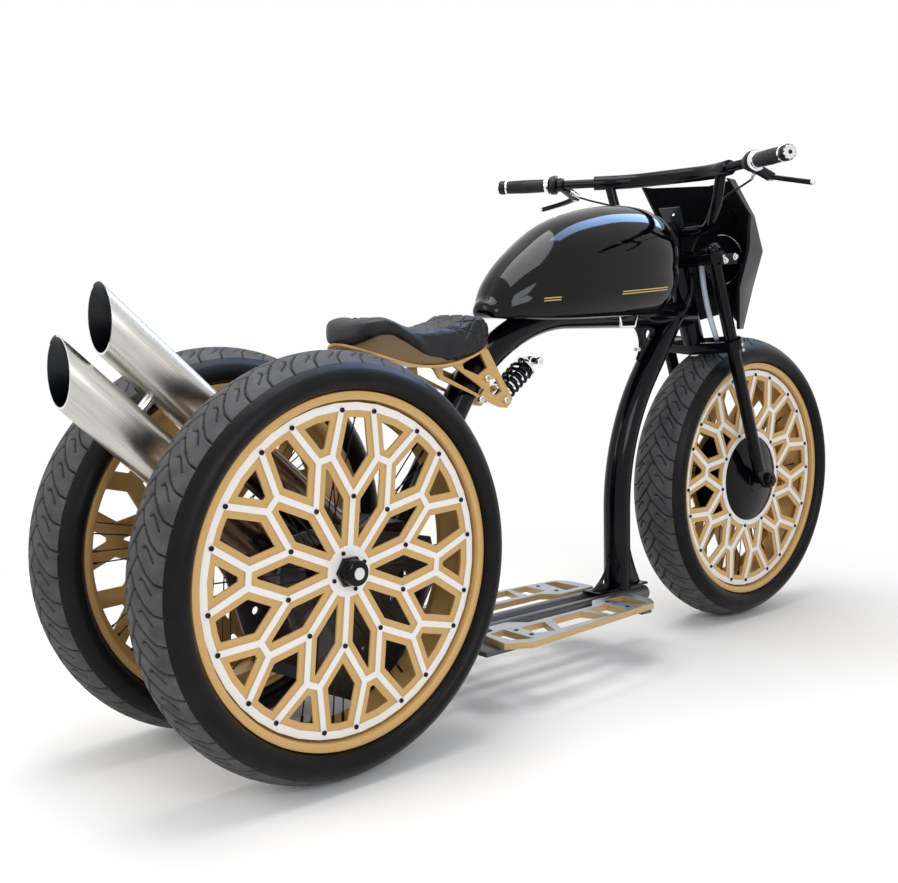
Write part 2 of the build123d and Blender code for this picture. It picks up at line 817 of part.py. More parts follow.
# Free edges of the webs: behind the head, and height over the backbone's axis or over the rails
head_web_edge = ((-269.0, -26.0), (-193.0, -49.0), (-199.0, -107.0))
head_web_hole = (-157.0, -48.0, 12.0)
foot_web_edge = ((-96.0, 4.0), (-42.0, 50.0), (-26.0, 118.0))
foot_web_hole = (-50.0, 22.0, 7.0)
front_web_edge = ((85.0, 1.0), (54.0, 62.0), (26.0, 165.0))
foot_plate_rear = 98.0
foot_plate_front = 87.0
foot_plate_half_width = 24.0
foot_plate_thickness = 5.0


def web(edge, x, z, corners, hole=None):
    """A plate in a frame corner: a curved free edge, closed inside the tubes through corners."""
    points = [(x + dx, 0, z + dz) for dx, dz in edge]
    back = [points[2]] + [(x + dx, 0, z + dz) for dx, dz in corners] + [points[0]]
    outline = make_face([ThreePointArc(*points), Polyline(*back)])
    plate = extrude(outline, gusset_thickness / 2, dir=(0, 1, 0), both=True)
    if hole:
        plate -= Pos(x + hole[0], 0, z + hole[1]) * Rot(90, 0, 0) * Cylinder(hole[2], 3 * gusset_thickness)
    return plate


def gussets():
    """Webs in the frame's front corners, two of them with a hole through."""
    webs = web(head_web_edge, head_x, backbone_height, ((-168.0, -119.0), (-53.0, -39.0), (-53.0, -9.0),
                                                        (-258.0, -9.0)), head_web_hole)
    webs += web(foot_web_edge, down_foot_x, rail_top, ((5.0, 118.0), (5.0, 1.0), (-96.0, 1.0)), foot_web_hole)
    webs += web(front_web_edge, down_foot_x, rail_top, ((0.0, 165.0), (0.0, 1.0), (84.0, 1.0)))
    plate_middle = down_foot_x + (foot_plate_front - foot_plate_rear) / 2
    webs += Pos(plate_middle, 0, rail_top + foot_plate_thickness / 2) * Box(
        foot_plate_rear + foot_plate_front, 2 * foot_plate_half_width, foot_plate_thickness
    )
    webs -= bent_tube(backbone_path, backbone_bend, frame_tube_radius)
    webs -= bent_tube(down_path, down_bend, frame_tube_radius)
    webs -= rails(rail_gap, rail_front)
    return [plate for plate in webs.solids() if plate.volume > 500]


save("head_tube", head_tube())
save("backbone", backbone())
save("down_tube", down_tube())
save("floor_rails", floor_rails())
save("gussets", Compound(gussets()))

# ---------------------------------------------------------------- rear carrier, axles, engine
carrier_outline = (
    (-50, 350), (-30, 412), (60, 425), (300, 372), (318, 300), (190, 88), (115, 84), (15, 130), (-46, 320),
)
carrier_holes = ((-14, 297, 10), (18, 240, 8), (60, 300, 14), (120, 360, 12), (230, 300, 14), (150, 150, 12))


def carrier():
    """Two side plates joined by two tubes, between the rear wheels."""
    plate = side_plate(carrier_outline, -carrier_half_width, carrier_thickness)
    for x, z, radius in carrier_holes:
        plate -= Pos(x, -carrier_half_width, z) * Rot(90, 0, 0) * Cylinder(radius, 3 * carrier_thickness)
    plate -= Pos(0, -carrier_half_width, tyre_radius) * Rot(90, 0, 0) * Cylinder(spindle_radius, 3 * carrier_thickness)
    return both_sides(plate) + crossbars()


def stub_axles():
    """A spindle for each rear wheel, with a shoulder inside and a nut behind the plate."""
    plate_in = carrier_half_width - carrier_thickness / 2
    plate_out = carrier_half_width + carrier_thickness / 2
    hub_inner = rear_track / 2 - hub_flange_offset - hub_boss - 0.5
    end = rear_track / 2 + cap_end - cap_wall - 2
    axle = rod((0, -plate_in + 12, tyre_radius), (0, -end, tyre_radius), spindle_radius)
    axle += rod((0, -plate_out, tyre_radius), (0, -hub_inner, tyre_radius), stub_radius)
    axle += rod((0, -plate_in + 12, tyre_radius), (0, -plate_in, tyre_radius), stub_radius)
    return both_sides(axle)


engine_bottom = rail_top + engine_gap
engine_top = engine_bottom + engine_height


def engine():
    """The engine, a plain block between the carrier's plates."""
    centre = (engine_rear + engine_length / 2, 0, engine_bottom + engine_height / 2)
    block = Pos(*centre) * Box(engine_length, 2 * carrier_half_width - carrier_thickness, engine_height)
    tube_room = bent_tube(backbone_path, backbone_bend, frame_tube_radius + engine_gap)
    return block - tube_room - crossbar(*cross_low, cross_low_radius + engine_gap)


pipe_dir = Vector(-cos(radians(pipe_angle)), 0, sin(radians(pipe_angle)))


def exhaust(mouth, foot_face):
    """A straight pipe with an upright slash-cut mouth, open for most of its length."""
    x, z = mouth
    start = Vector(x, 0, z) - pipe_dir * foot_face
    outer = rod(start, Vector(x, 0, z) + pipe_dir * 80, pipe_radius)
    bore = rod(start + pipe_dir * 60, Vector(x, 0, z) + pipe_dir * 90, pipe_radius - pipe_wall)
    trim = Pos(x - 200, 0, z) * Box(400, 400, 400)
    return outer - bore - trim


def exhaust_pipes():
    """Both pipes, each ended on the engine's face."""
    block = Pos(engine_rear + 200, 0, engine_top - 200) * Box(400, 400, 400)
    lower = exhaust(pipe_mouths[0], 640) - block
    upper = exhaust(pipe_mouths[1], 700) - block
    return biggest(lower), biggest(upper)


def exhaust_bracket(lower, upper):
    """A clamp block between the pipes with a bar running down beside it."""
    (x0, z0), (x1, z1) = pipe_mouths
    across_pipes = Vector(sin(radians(pipe_angle)), 0, cos(radians(pipe_angle)))
    middle = (Vector(x0, 0, z0) + Vector(x1, 0, z1)) * 0.5 - pipe_dir * 150
    block = rod(middle - across_pipes * 30, middle + across_pipes * 30, 9)
    return biggest(block - lower - upper)


lower_pipe, upper_pipe = exhaust_pipes()
save("rear_carrier", carrier())
save("stub_axles", stub_axles())
save("engine", engine())
save("exhaust_lower", lower_pipe)
save("exhaust_upper", upper_pipe)
save("exhaust_bracket", exhaust_bracket(lower_pipe, upper_pipe))

# ---------------------------------------------------------------- tank
def tank_section(behind_head, half_width, bottom_rise, top_rise):
    """One upright section: flat floor, round shoulders and a crowned back."""
    x, bottom, top = head_x - behind_head, backbone_height + bottom_rise, backbone_height + top_rise
    height = top - bottom
    floor = (0.70 * half_width, bottom)
    side = (half_width, bottom + 0.40 * height)
    low_bulge = (0.95 * half_width, bottom + 0.13 * height)
    high_bulge = (0.74 * half_width, bottom + 0.83 * height)
    plane = Plane(origin=(x, 0, 0), x_dir=(0, 1, 0), z_dir=(1, 0, 0))
    right = [
        ThreePointArc(floor, low_bulge, side),
        ThreePointArc(side, high_bulge, (0, top)),
    ]
    left = [mirror(edge, Plane.YZ) for edge in right]
    base = Line((-floor[0], bottom), floor)
    return plane * make_face([base] + right + left)


def tank():
    """The teardrop tank, straddling the backbone."""
    body = loft([tank_section(*section) for section in tank_sections], ruled=True)
    reach = frame_tube_radius + tunnel_gap
    start = head_x - backbone_straight
    skirt_room = Pos(start + 300, 0, backbone_height - 60) * Box(600, 2 * reach, 120)
    return biggest(body - bent_tube(backbone_path, backbone_bend, reach) - skirt_room)


save("tank", tank())
save("tank_cable", biggest(cord(tank_cable_route, tank_cable_radius) - tank() - head_tube()))

# ---------------------------------------------------------------- seat
seat_rear_centre = seat_tail_x + seat_tail_radius
seat_front_centre = seat_nose_x - seat_nose_radius


def seat_plan(shrink, low, high):
    """The seat's outline seen from above, as a prism between two heights."""
    tail = Pos(seat_rear_centre, 0) * Circle(seat_tail_radius - shrink)
    nose = Pos(seat_front_centre, 0) * Circle(seat_nose_radius - shrink)
    return Pos(0, 0, low) * extrude(make_hull(tail.edges() + nose.edges()), high - low)


# The seat's side view: x, and height over the backbone's axis
seat_tail_low = (seat_tail_x, -51.0)
seat_tail_high = (168.0, -14.0)
seat_tail_top = (208.0, -10.0)
seat_hollow = (325.0, -37.0)
seat_rise = (428.0, -15.0)
seat_nose_top = (488.0, -7.0)
seat_nose_tip = (seat_nose_x, -42.0)
seat_belly = (345.0, -97.0)


def seat_side(lower):
    """The seat's outline seen from the side; lower drops the whole of it."""

    def at(point):
        x, z = over_backbone(point)
        return (x, 0, z - lower)

    edges = [
        ThreePointArc(at(seat_tail_low), at(seat_tail_high), at(seat_tail_top)),
        ThreePointArc(at(seat_tail_top), at(seat_hollow), at(seat_rise)),
        ThreePointArc(at(seat_rise), at(seat_nose_top), at(seat_nose_tip)),
        ThreePointArc(at(seat_nose_tip), at(seat_belly), at(seat_tail_low)),
    ]
    return extrude(make_face(edges), 200, dir=(0, 1, 0), both=True)


def seat_block(shrink, lower):
    """The seat's plan and side view crossed, clear of the backbone."""
    low, high = backbone_height - 150, backbone_height + 60
    saddle = bent_tube(backbone_path, backbone_bend, frame_tube_radius + seat_clearance)
    return (seat_plan(shrink, low, high) & seat_side(lower)) - saddle


def seat():
    """The cushion, a plain closed solid with a saddle for the backbone under its nose."""
    return biggest(seat_block(0, 0))


def seat_pan():
    """The metal pan that backs the cushion."""
    return biggest(seat_block(4, seat_pan_thickness) - seat_side(0))


bracket_outline = (
    (352, -97), (419, -91), (492, -63), (509, -73), (580, -177), (563, -195), (545, -193), (374, -127),
)
bracket_windows = (
    ((382, -107), (412, -103), (497, -153), (486, -165), (384, -121)),
    ((436, -99), (486, -77), (505, -109), (480, -123), (440, -109)),
    ((512, -135), (532, -131), (548, -159), (530, -169), (514, -159)),
)


def seat_brackets():
    """Two cut-out side plates on one pivot, carrying the seat and the shock's lower eye."""
    plate = side_plate([over_backbone(point) for point in bracket_outline], -bracket_plane, bracket_thickness)
    for window in bracket_windows:
        plate -= side_plate([over_backbone(point) for point in window], -bracket_plane, 3 * bracket_thickness)
    plate = biggest(plate - (seat_plan(0, backbone_height - 150, backbone_height + 60) & seat_side(seat_pan_thickness)))
    x, z = over_backbone(shock_lower)
    reach = bracket_plane + bracket_thickness / 2 + 4
    lower_pin = rod((x, -reach, z), (x, reach, z), pin_radius)
    return both_sides(plate) + pivot_pin(pin_radius) + lower_pin


def shock_ends():
    """The middles of the shock's lower and upper eyes, and the direction between them."""
    (x0, z0), (x1, z1) = over_backbone(shock_lower), over_backbone(shock_upper)
    low, high = Vector(x0, 0, z0), Vector(x1, 0, z1)
    return low, high, (high - low).normalized()


def across_bar(middle, half_length, radius, sides=0):
    """A bar across the trike through a point of its middle plane."""
    return rod((middle.X, -half_length, middle.Z), (middle.X, half_length, middle.Z), radius, sides)


def shock():
    """The damper between its two eyes, with the long upper bolt."""
    low, high, along = shock_ends()
    collar = spring_radius + spring_wire
    body = rod(low + along * 8, high - along * 8, shock_radius, 16)
    body += rod(low + along * (collar_reach - 5), low + along * collar_reach, collar, 20)
    body += rod(high - along * collar_reach, high - along * (collar_reach - 5), collar, 20)
    body += across_bar(low, 12, 12, 16)
    body += across_bar(high, 12, 12, 16)
    body += across_bar(high, 27, 8, 12)
    return body - across_bar(low, 40, pin_radius + running_clearance)


def shock_spring():
    """The coil round the damper, seated between its two collars."""
    low, high, along = shock_ends()
    start = collar_reach + spring_wire + 0.2
    span = (high - low).length - 2 * start
    side = Vector(0, 1, 0)
    out = side.cross(along)
    rows = []
    for step in range(spring_turns * spring_steps + 1):
        angle = 2 * pi * step / spring_steps
        radial = out * cos(angle) + side * sin(angle)
        centre = low + along * (start + span * step / (spring_turns * spring_steps))
        ring = []
        for corner in range(6):
            lift, push = spring_wire * sin(pi * corner / 3), spring_wire * cos(pi * corner / 3)
            ring.append(tuple(centre + radial * (spring_radius + push) + along * lift))
        rows.append(ring)
    return skinned(rows)


save("seat", seat())
save("seat_pan", seat_pan())
save("seat_brackets", seat_brackets())
save("shock", shock())
save("shock_spring", shock_spring())

# ---------------------------------------------------------------- footboards and small things
# Behind the board's front edge, and to the side of the middle plane
board_front = down_foot_x - 30.0
board_outline = (
    (513, 160), (458, 190), (28, 156), (2, 126), (0, 60), (5, 46), (115, 46), (155, 80), (360, 80),
    (393, 47), (453, 47), (463, 78), (498, 82),
)
board_windows = (
    ((486, 92), (440, 84), (442, 173), (462, 165), (484, 150)),
    ((404, 98), (332, 98), (366, 163), (409, 148)),
    ((305, 96), (211, 95), (187, 158), (343, 158)),
    ((184, 90), (120, 94), (124, 157), (179, 156)),
    ((82, 64), (30, 66), (34, 144), (68, 149)),
)
mount_thickness = 10.0
mount_reach = 150.0
mounts = ((45.0, 34.0), (510.0, 84.0))  # behind the board's front edge, width


def board_prism(points, bottom, height):
    """An upright prism over points given as for the board's outline, on the right side."""
    outline = Polyline(*[(board_front - x, -y, bottom) for x, y in points], close=True)
    return extrude(make_face(outline), height, dir=(0, 0, 1))


def footboard():
    """The right footboard: a flat frame with five windows."""
    bottom = board_top - board_thickness
    board = board_prism(board_outline, bottom, board_thickness)
    for window in board_windows:
        board -= board_prism(window, bottom - 1, board_thickness + 2)
    return board


def board_mounts():
    """Flat bars out from the rails under both boards."""
    top = board_top - board_thickness
    bars = Part()
    for behind, width in mounts:
        bars += Pos(board_front - behind, -mount_reach / 2, top - mount_thickness / 2) * Box(
            width, mount_reach, mount_thickness
        )
    bars -= rails(rail_gap, rail_front)
    kept = [solid for solid in bars.solids() if solid.center().Y < -rail_radius * 2]
    return both_sides(Compound(kept))


loop_behind_head = 320.0
loop_radius = 3.4


def lock_loop():
    """A bright staple hanging under the tank beside the backbone."""
    y = -(frame_tube_radius + tunnel_gap + 9)
    x, low = head_x - loop_behind_head, backbone_height - 28
    points = [(x, y, low + 36), (x + 9, y, low), (x + 57, y, low), (x + 68, y, low + 36)]
    path = Polyline(*points)
    section = Plane(origin=points[0], z_dir=path % 0) * RegularPolygon(loop_radius, 8)
    return biggest(sweep(section, path, transition=Transition.RIGHT) - tank())


save("footboard_right", footboard())
save("footboard_left", mirror(footboard(), Plane.XZ))
save("board_mounts", board_mounts())
save("lock_loop", lock_loop())
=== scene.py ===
"""Dresses the motorized trike: finishes, seat leather, tread, controls, cords and small fittings."""

import json
from math import atan2, cos, hypot, pi, radians, sin, tan

import bpy
import numpy as np
from mathutils import Matrix, Vector

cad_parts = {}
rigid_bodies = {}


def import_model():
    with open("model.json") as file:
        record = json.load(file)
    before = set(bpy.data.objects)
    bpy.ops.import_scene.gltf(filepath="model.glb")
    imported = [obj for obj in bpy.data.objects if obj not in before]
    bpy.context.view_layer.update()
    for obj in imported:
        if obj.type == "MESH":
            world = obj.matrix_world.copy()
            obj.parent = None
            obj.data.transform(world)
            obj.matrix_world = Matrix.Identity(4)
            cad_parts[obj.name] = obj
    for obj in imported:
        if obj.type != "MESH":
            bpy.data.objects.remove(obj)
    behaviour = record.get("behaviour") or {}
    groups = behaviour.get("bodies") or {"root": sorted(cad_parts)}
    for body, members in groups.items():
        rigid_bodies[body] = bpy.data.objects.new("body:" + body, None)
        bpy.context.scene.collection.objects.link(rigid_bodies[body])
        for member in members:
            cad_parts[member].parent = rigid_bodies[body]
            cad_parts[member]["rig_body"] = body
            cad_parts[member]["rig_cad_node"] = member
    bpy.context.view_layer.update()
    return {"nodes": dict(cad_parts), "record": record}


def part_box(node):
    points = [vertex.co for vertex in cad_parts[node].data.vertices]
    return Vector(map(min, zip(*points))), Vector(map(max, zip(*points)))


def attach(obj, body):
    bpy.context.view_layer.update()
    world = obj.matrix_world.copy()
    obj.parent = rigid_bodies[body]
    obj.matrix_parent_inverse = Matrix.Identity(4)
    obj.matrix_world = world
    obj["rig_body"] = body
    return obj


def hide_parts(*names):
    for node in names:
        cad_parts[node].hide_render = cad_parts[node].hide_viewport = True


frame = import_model()
bpy.ops.object.select_all(action="DESELECT")

# Lengths in part drawings are millimetres from the rear axle, as in the part's source
drawing_origin = 722.5
mm = 0.001
origin = Vector((0, 0, 0))
side_names = {-1: "right", 1: "left"}


def at(x, y, z):
    """A drawing point, in metres in the frame."""
    return Vector(((x - drawing_origin) * mm, y * mm, z * mm))


# ------------------------------------------------------------------ camera
camera_place = Vector((-1.87644, -1.75790, 0.78761))
camera_azimuth = radians(-42.13)
camera_elevation = radians(5.98)
camera_roll = radians(-0.31)
focal_px = 1156.31
frame_px = 898
sensor_width = 36.0


def add_camera():
    """Stands the camera at the viewing point, looking along its azimuth and elevation."""
    back = Vector((
        sin(camera_azimuth) * cos(camera_elevation),
        -cos(camera_azimuth) * cos(camera_elevation),
        sin(camera_elevation),
    ))
    right = Vector((0, 0, 1)).cross(back).normalized()
    up = back.cross(right)
    turned_right = cos(camera_roll) * right + sin(camera_roll) * up
    turned_up = cos(camera_roll) * up - sin(camera_roll) * right
    data = bpy.data.cameras.new("viewpoint")
    data.sensor_width = sensor_width
    data.lens = focal_px / frame_px * sensor_width
    camera = bpy.data.objects.new("viewpoint", data)
    turn = Matrix((turned_right, turned_up, back)).transposed().to_4x4()
    camera.matrix_world = Matrix.Translation(camera_place) @ turn
    bpy.context.scene.collection.objects.link(camera)
    bpy.context.scene.camera = camera


add_camera()


# ------------------------------------------------------------------ materials
def new_finish(name, colour, metallic=0.0, roughness=0.5, **sockets):
    """A finish on the standard shader, with constants on its own sockets."""
    finish = bpy.data.materials.new(name)
    finish.use_nodes = True
    shader = finish.node_tree.nodes["Principled BSDF"]
    shader.inputs["Base Color"].default_value = (*colour, 1)
    shader.inputs["Metallic"].default_value = metallic
    shader.inputs["Roughness"].default_value = roughness
    for socket, value in sockets.items():
        shader.inputs[socket.replace("_", " ")].default_value = value
    return finish


def node(finish, kind, **settings):
    """Adds a node to a finish or a world; a setting that the node itself lacks goes to its input."""
    made = finish.node_tree.nodes.new(kind)
    for key, value in settings.items():
        if hasattr(made, key):
            setattr(made, key, value)
        else:
            made.inputs[key.replace("_", " ")].default_value = value
    return made


def link(finish, source, target):
    """Joins two sockets of a finish or a world."""
    finish.node_tree.links.new(source, target)


def shader_of(finish):
    """The finish's standard shader."""
    return finish.node_tree.nodes["Principled BSDF"]


def object_place(finish, centre=(0, 0, 0), stretch=(1, 1, 1)):
    """Object coordinates, moved so that a point lies at the pattern's centre."""
    source = node(finish, "ShaderNodeTexCoord")
    mapping = node(finish, "ShaderNodeMapping")
    mapping.inputs["Scale"].default_value = stretch
    mapping.inputs["Location"].default_value = [-c * s for c, s in zip(centre, stretch)]
    link(finish, source.outputs["Object"], mapping.inputs["Vector"])
    return mapping.outputs["Vector"]


def grain(finish, scale, stretch=(1, 1, 1), detail=4.0, centre=(0, 0, 0)):
    """A noise pattern in Object coordinates; returns its value from 0 to 1."""
    noise = node(finish, "ShaderNodeTexNoise", Scale=scale, Detail=detail)
    link(finish, object_place(finish, centre, stretch), noise.inputs["Vector"])
    return noise.outputs["Fac"]


def ranged(finish, value, low, high, start=0.3, end=0.7):
    """Maps a pattern's value from one range to another."""
    spread = node(finish, "ShaderNodeMapRange")
    for key, number in (("From Min", start), ("From Max", end), ("To Min", low), ("To Max", high)):
        spread.inputs[key].default_value = number
    link(finish, value, spread.inputs["Value"])
    return spread.outputs["Result"]


def vary_colour(finish, value, dark, light):
    """Colours the finish between two shades by a value from 0 to 1."""
    mix = node(finish, "ShaderNodeMix", data_type="RGBA")
    mix.inputs["A"].default_value = (*dark, 1)
    mix.inputs["B"].default_value = (*light, 1)
    link(finish, value, mix.inputs["Factor"])
    link(finish, mix.outputs["Result"], shader_of(finish).inputs["Base Color"])
    return mix


def bump(finish, height, strength, distance=0.001):
    """Raises the finish by a height pattern."""
    raised = node(finish, "ShaderNodeBump", Strength=strength, Distance=distance)
    link(finish, height, raised.inputs["Height"])
    link(finish, raised.outputs["Normal"], shader_of(finish).inputs["Normal"])


# How fine each pattern is: repeats per metre, about
haze_scale = 9.0
ripple_scale = 260.0
speck_scale = 900.0
scratch_scale = 900.0
cloud_scale = 14.0
bloom_scale = 30.0
pore_scale = 1400.0


def painted(name, colour, roughness, coat, speck=0.0, metallic=0.0, level=0.3):
    """A sprayed paint: an even colour, faint unevenness in its gloss and a slight ripple."""
    finish = new_finish(name, colour, metallic, roughness, Coat_Weight=coat, Coat_Roughness=0.06,
                        Specular_IOR_Level=level)
    haze = ranged(finish, grain(finish, haze_scale), roughness * 0.8, roughness * 1.25)
    link(finish, haze, shader_of(finish).inputs["Roughness"])
    bump(finish, grain(finish, speck_scale if speck else ripple_scale, detail=2.0), 0.02 + speck, 0.0004)
    return finish


def brushed(name, colour, roughness, stretch, depth=0.12):
    """A brushed metal: fine scratches along the stretched direction and cloudy gloss."""
    finish = new_finish(name, colour, 1.0, roughness)
    lines = grain(finish, scratch_scale, stretch, 3.0)
    clouds = grain(finish, cloud_scale)
    link(finish, ranged(finish, clouds, roughness * 0.75, roughness * 1.3), shader_of(finish).inputs["Roughness"])
    light = [min(1.0, c * 1.12) for c in colour]
    dark = [c * 0.86 for c in colour]
    vary_colour(finish, ranged(finish, lines, 0, 1, 0.35, 0.65), dark, light)
    bump(finish, lines, depth, 0.0002)
    return finish


def tyre_finish(name, colour, light, roughness, level=0.2):
    """Rubber with a dusty bloom and a fine open grain."""
    finish = new_finish(name, colour, 0.0, roughness, Specular_IOR_Level=level)
    bloom = ranged(finish, grain(finish, bloom_scale, detail=8.0), 0, 1)
    vary_colour(finish, bloom, colour, light)
    bump(finish, grain(finish, pore_scale, detail=5.0), 0.25, 0.0006)
    return finish


paint_black = painted("gloss_black_paint", (0.002, 0.002, 0.003), 0.14, 0.12, level=0.1)
paint_tank = painted("tank_black_paint", (0.001, 0.001, 0.0015), 0.07, 0.3, level=0.08)
paint_gold = painted("gold_paint", (0.56, 0.35, 0.125), 0.36, 0.15, speck=0.12, metallic=0.35)
# A darker copy of the gold paint for the pan wall under the cushion: painted shade
pan_gold_painted_shade = painted("pan_gold_in_painted_shade", (0.20, 0.135, 0.07), 0.5, 0.0, speck=0.1, level=0.2)
paint_white = painted("pearl_white_strip", (0.78, 0.77, 0.75), 0.34, 0.2, speck=0.05)
paint_grey = painted("dark_grey_fairing", (0.007, 0.007, 0.008), 0.3, 0.08, speck=0.05, level=0.12)
paint_shield = painted("blue_grey_shield", (0.018, 0.022, 0.032), 0.3, 0.2, speck=0.04, level=0.25)
frame_grey = painted("satin_frame_grey", (0.07, 0.07, 0.08), 0.35, 0.2, speck=0.1, metallic=0.5)
bolt_black = painted("black_oxide", (0.007, 0.007, 0.008), 0.34, 0.0, speck=0.1, level=0.2)
chrome = new_finish("chrome", (0.82, 0.83, 0.85), 1.0, 0.06)
link(chrome, ranged(chrome, grain(chrome, 20.0), 0.04, 0.12), shader_of(chrome).inputs["Roughness"])
zinc = brushed("zinc_bolts", (0.66, 0.66, 0.65), 0.3, (1, 1, 1), 0.08)
alloy_board = brushed("brushed_board", (0.40, 0.43, 0.47), 0.42, (0.05, 1, 1))
alloy_plain = brushed("turned_alloy", (0.70, 0.70, 0.71), 0.24, (1, 1, 1), 0.05)
board_edge = painted("board_gold_edge", (0.52, 0.35, 0.15), 0.4, 0.1, speck=0.1, metallic=0.2)
cast_case = brushed("cast_case", (0.035, 0.035, 0.038), 0.45, (1, 1, 1), 0.4)
liner = new_finish("sooty_liner", (0.008, 0.009, 0.012), 0.4, 0.35)
bump(liner, grain(liner, 300.0), 0.2, 0.0006)
grip_rubber = tyre_finish("grip_rubber", (0.010, 0.010, 0.011), (0.02, 0.02, 0.021), 0.5)
cable_sheath = tyre_finish("cable_sheath", (0.008, 0.008, 0.008), (0.015, 0.015, 0.015), 0.32)
tread_rubber = tyre_finish("dusty_tread", (0.042, 0.042, 0.044), (0.085, 0.085, 0.087), 0.6)
wall_rubber = tyre_finish("smooth_side_wall", (0.004, 0.004, 0.004), (0.008, 0.008, 0.009), 0.36, 0.12)
hose_finish = new_finish("clear_hose", (0.66, 0.72, 0.82), 0.0, 0.12, Transmission_Weight=0.35, IOR=1.4)
bump(hose_finish, grain(hose_finish, 80.0), 0.1, 0.0005)
pinstripe = painted("pinstripe_gold", (0.62, 0.40, 0.13), 0.3, 0.3, speck=0.05, metallic=0.3)
spoke_black = painted("spoke_black", (0.006, 0.006, 0.006), 0.3, 0.1, level=0.2)
lens_finish = new_finish("lamp_lens", (0.75, 0.78, 0.8), 0.0, 0.08, Transmission_Weight=0.5, IOR=1.45)
bump(lens_finish, grain(lens_finish, 60.0, (1, 1, 0.02)), 0.3, 0.001)


# ------------------------------------------------------------------ making pieces
merge_distance = 0.00001
flat_enough = radians(0.6)
bodies_of = {}
for body_name, members in frame["record"]["behaviour"]["bodies"].items():
    for member in members:
        bodies_of[member] = body_name


def only(piece):
    """Selects one piece and nothing else."""
    bpy.ops.object.select_all(action="DESELECT")
    piece.select_set(True)
    bpy.context.view_layer.objects.active = piece


def edit(piece, mode="VERT"):
    """Opens a piece in edit mode with all of it selected."""
    only(piece)
    bpy.ops.object.mode_set(mode="EDIT")
    bpy.ops.mesh.select_mode(type=mode)
    bpy.ops.mesh.select_all(action="SELECT")


def leave_edit():
    """Goes back to object mode."""
    bpy.ops.object.mode_set(mode="OBJECT")


def reopen(piece):
    """Opens a piece in edit mode with its own selection kept."""
    only(piece)
    bpy.ops.object.mode_set(mode="EDIT")


def pick_nothing(piece, mode):
    """Clears a piece's selection, so that its elements can be picked one by one."""
    edit(piece, mode)
    bpy.ops.mesh.select_all(action="DESELECT")
    leave_edit()


def merge_doubles(piece, outward=False):
    """Merges a piece's doubled vertices; with outward, its faces are turned to look out too."""
    edit(piece)
    bpy.ops.mesh.remove_doubles(threshold=merge_distance)
    if outward:
        bpy.ops.mesh.normals_make_consistent(inside=False)
    leave_edit()


def settle(piece):
    """Applies a piece's place, so that its object sits at the origin."""
    only(piece)
    bpy.ops.object.transform_apply(location=True, rotation=True, scale=True)


def apply_modifier(piece, kind, **settings):
    """Adds a modifier and applies it."""
    only(piece)
    modifier = piece.modifiers.new(kind.lower(), kind)
    for key, value in settings.items():
        setattr(modifier, key, value)
    bpy.ops.object.modifier_apply(modifier=modifier.name)


def smooth(piece, angle=35):
    """Shades a piece smooth, but for edges sharper than the angle."""
    only(piece)
    bpy.ops.object.shade_smooth_by_angle(angle=radians(angle))


def hand_over(piece, name, finish, slot, body, *nodes):
    """Names a piece, gives it its finish and lets it ride on its body."""
    piece.name = name
    piece.data.name = name
    piece.data.materials.clear()
    piece.data.materials.append(finish)
    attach(piece, body)
    if nodes:
        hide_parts(*nodes)
    return piece


def loose_copy(cad_node):
    """A copy of a node's mesh that belongs to no body yet."""
    source = frame["nodes"][cad_node]
    piece = source.copy()
    piece.data = source.data.copy()
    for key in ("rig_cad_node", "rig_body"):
        if key in piece:
            del piece[key]
    piece.parent = None
    bpy.context.scene.collection.objects.link(piece)
    return piece


def dress(cad_node, finish, angle=35, edge=0.0, name=None):
    """A copy of a node with its facets merged and shaded smooth and its edges eased."""
    piece = loose_copy(cad_node)
    edit(piece)
    bpy.ops.mesh.remove_doubles(threshold=merge_distance)
    bpy.ops.mesh.dissolve_limited(angle_limit=flat_enough)
    leave_edit()
    if edge:
        apply_modifier(piece, "BEVEL", width=edge, segments=2, limit_method="ANGLE",
                       angle_limit=radians(angle), use_clamp_overlap=True)
    smooth(piece, angle)
    slot = next(p["material_slot"] for p in frame["record"]["subparts"] if p["node"] == cad_node)
    return hand_over(piece, name or f"{cad_node}_finished", finish, slot, bodies_of[cad_node], cad_node)


def spun(points, centre, outward=1, steps=96, closed=True):
    """A turned piece about an axis along Y, from (radius, height outward) points in millimetres."""
    bpy.ops.object.select_all(action="DESELECT")
    bpy.ops.mesh.primitive_circle_add(vertices=len(points), radius=0.01, fill_type="NOTHING", location=(0, 0, 0))
    piece = bpy.context.object
    for vertex, (radius, height) in zip(piece.data.vertices, points):
        vertex.co = centre + Vector((radius * mm, outward * height * mm, 0))
    if not closed:
        ends = {0, len(points) - 1}
        pick_nothing(piece, "EDGE")
        for edge in piece.data.edges:
            edge.select = set(edge.vertices) == ends
        reopen(piece)
        bpy.ops.mesh.delete(type="EDGE")
        leave_edit()
    edit(piece)
    bpy.ops.mesh.spin(steps=steps, angle=2 * pi, center=centre, axis=(0, 1, 0))
    leave_edit()
    merge_doubles(piece, outward=True)
    return piece


def stand(piece, place, direction, axis="Z", other="Y"):
    """Moves a piece's mesh from the origin to a place, with its axis turned along a direction."""
    turn = Vector(direction).to_track_quat(axis, other).to_matrix().to_4x4()
    piece.data.transform(Matrix.Translation(place) @ turn)


def sheet_of(rows):
    """A skin through rows of points, each row closed on itself."""
    around = len(rows[0])
    columns = around + 1
    bpy.ops.object.select_all(action="DESELECT")
    bpy.ops.mesh.primitive_grid_add(x_subdivisions=around, y_subdivisions=len(rows) - 1, size=1)
    piece = bpy.context.object
    for k, vertex in enumerate(piece.data.vertices):
        vertex.co = rows[k // columns][k % columns % around]
    return piece


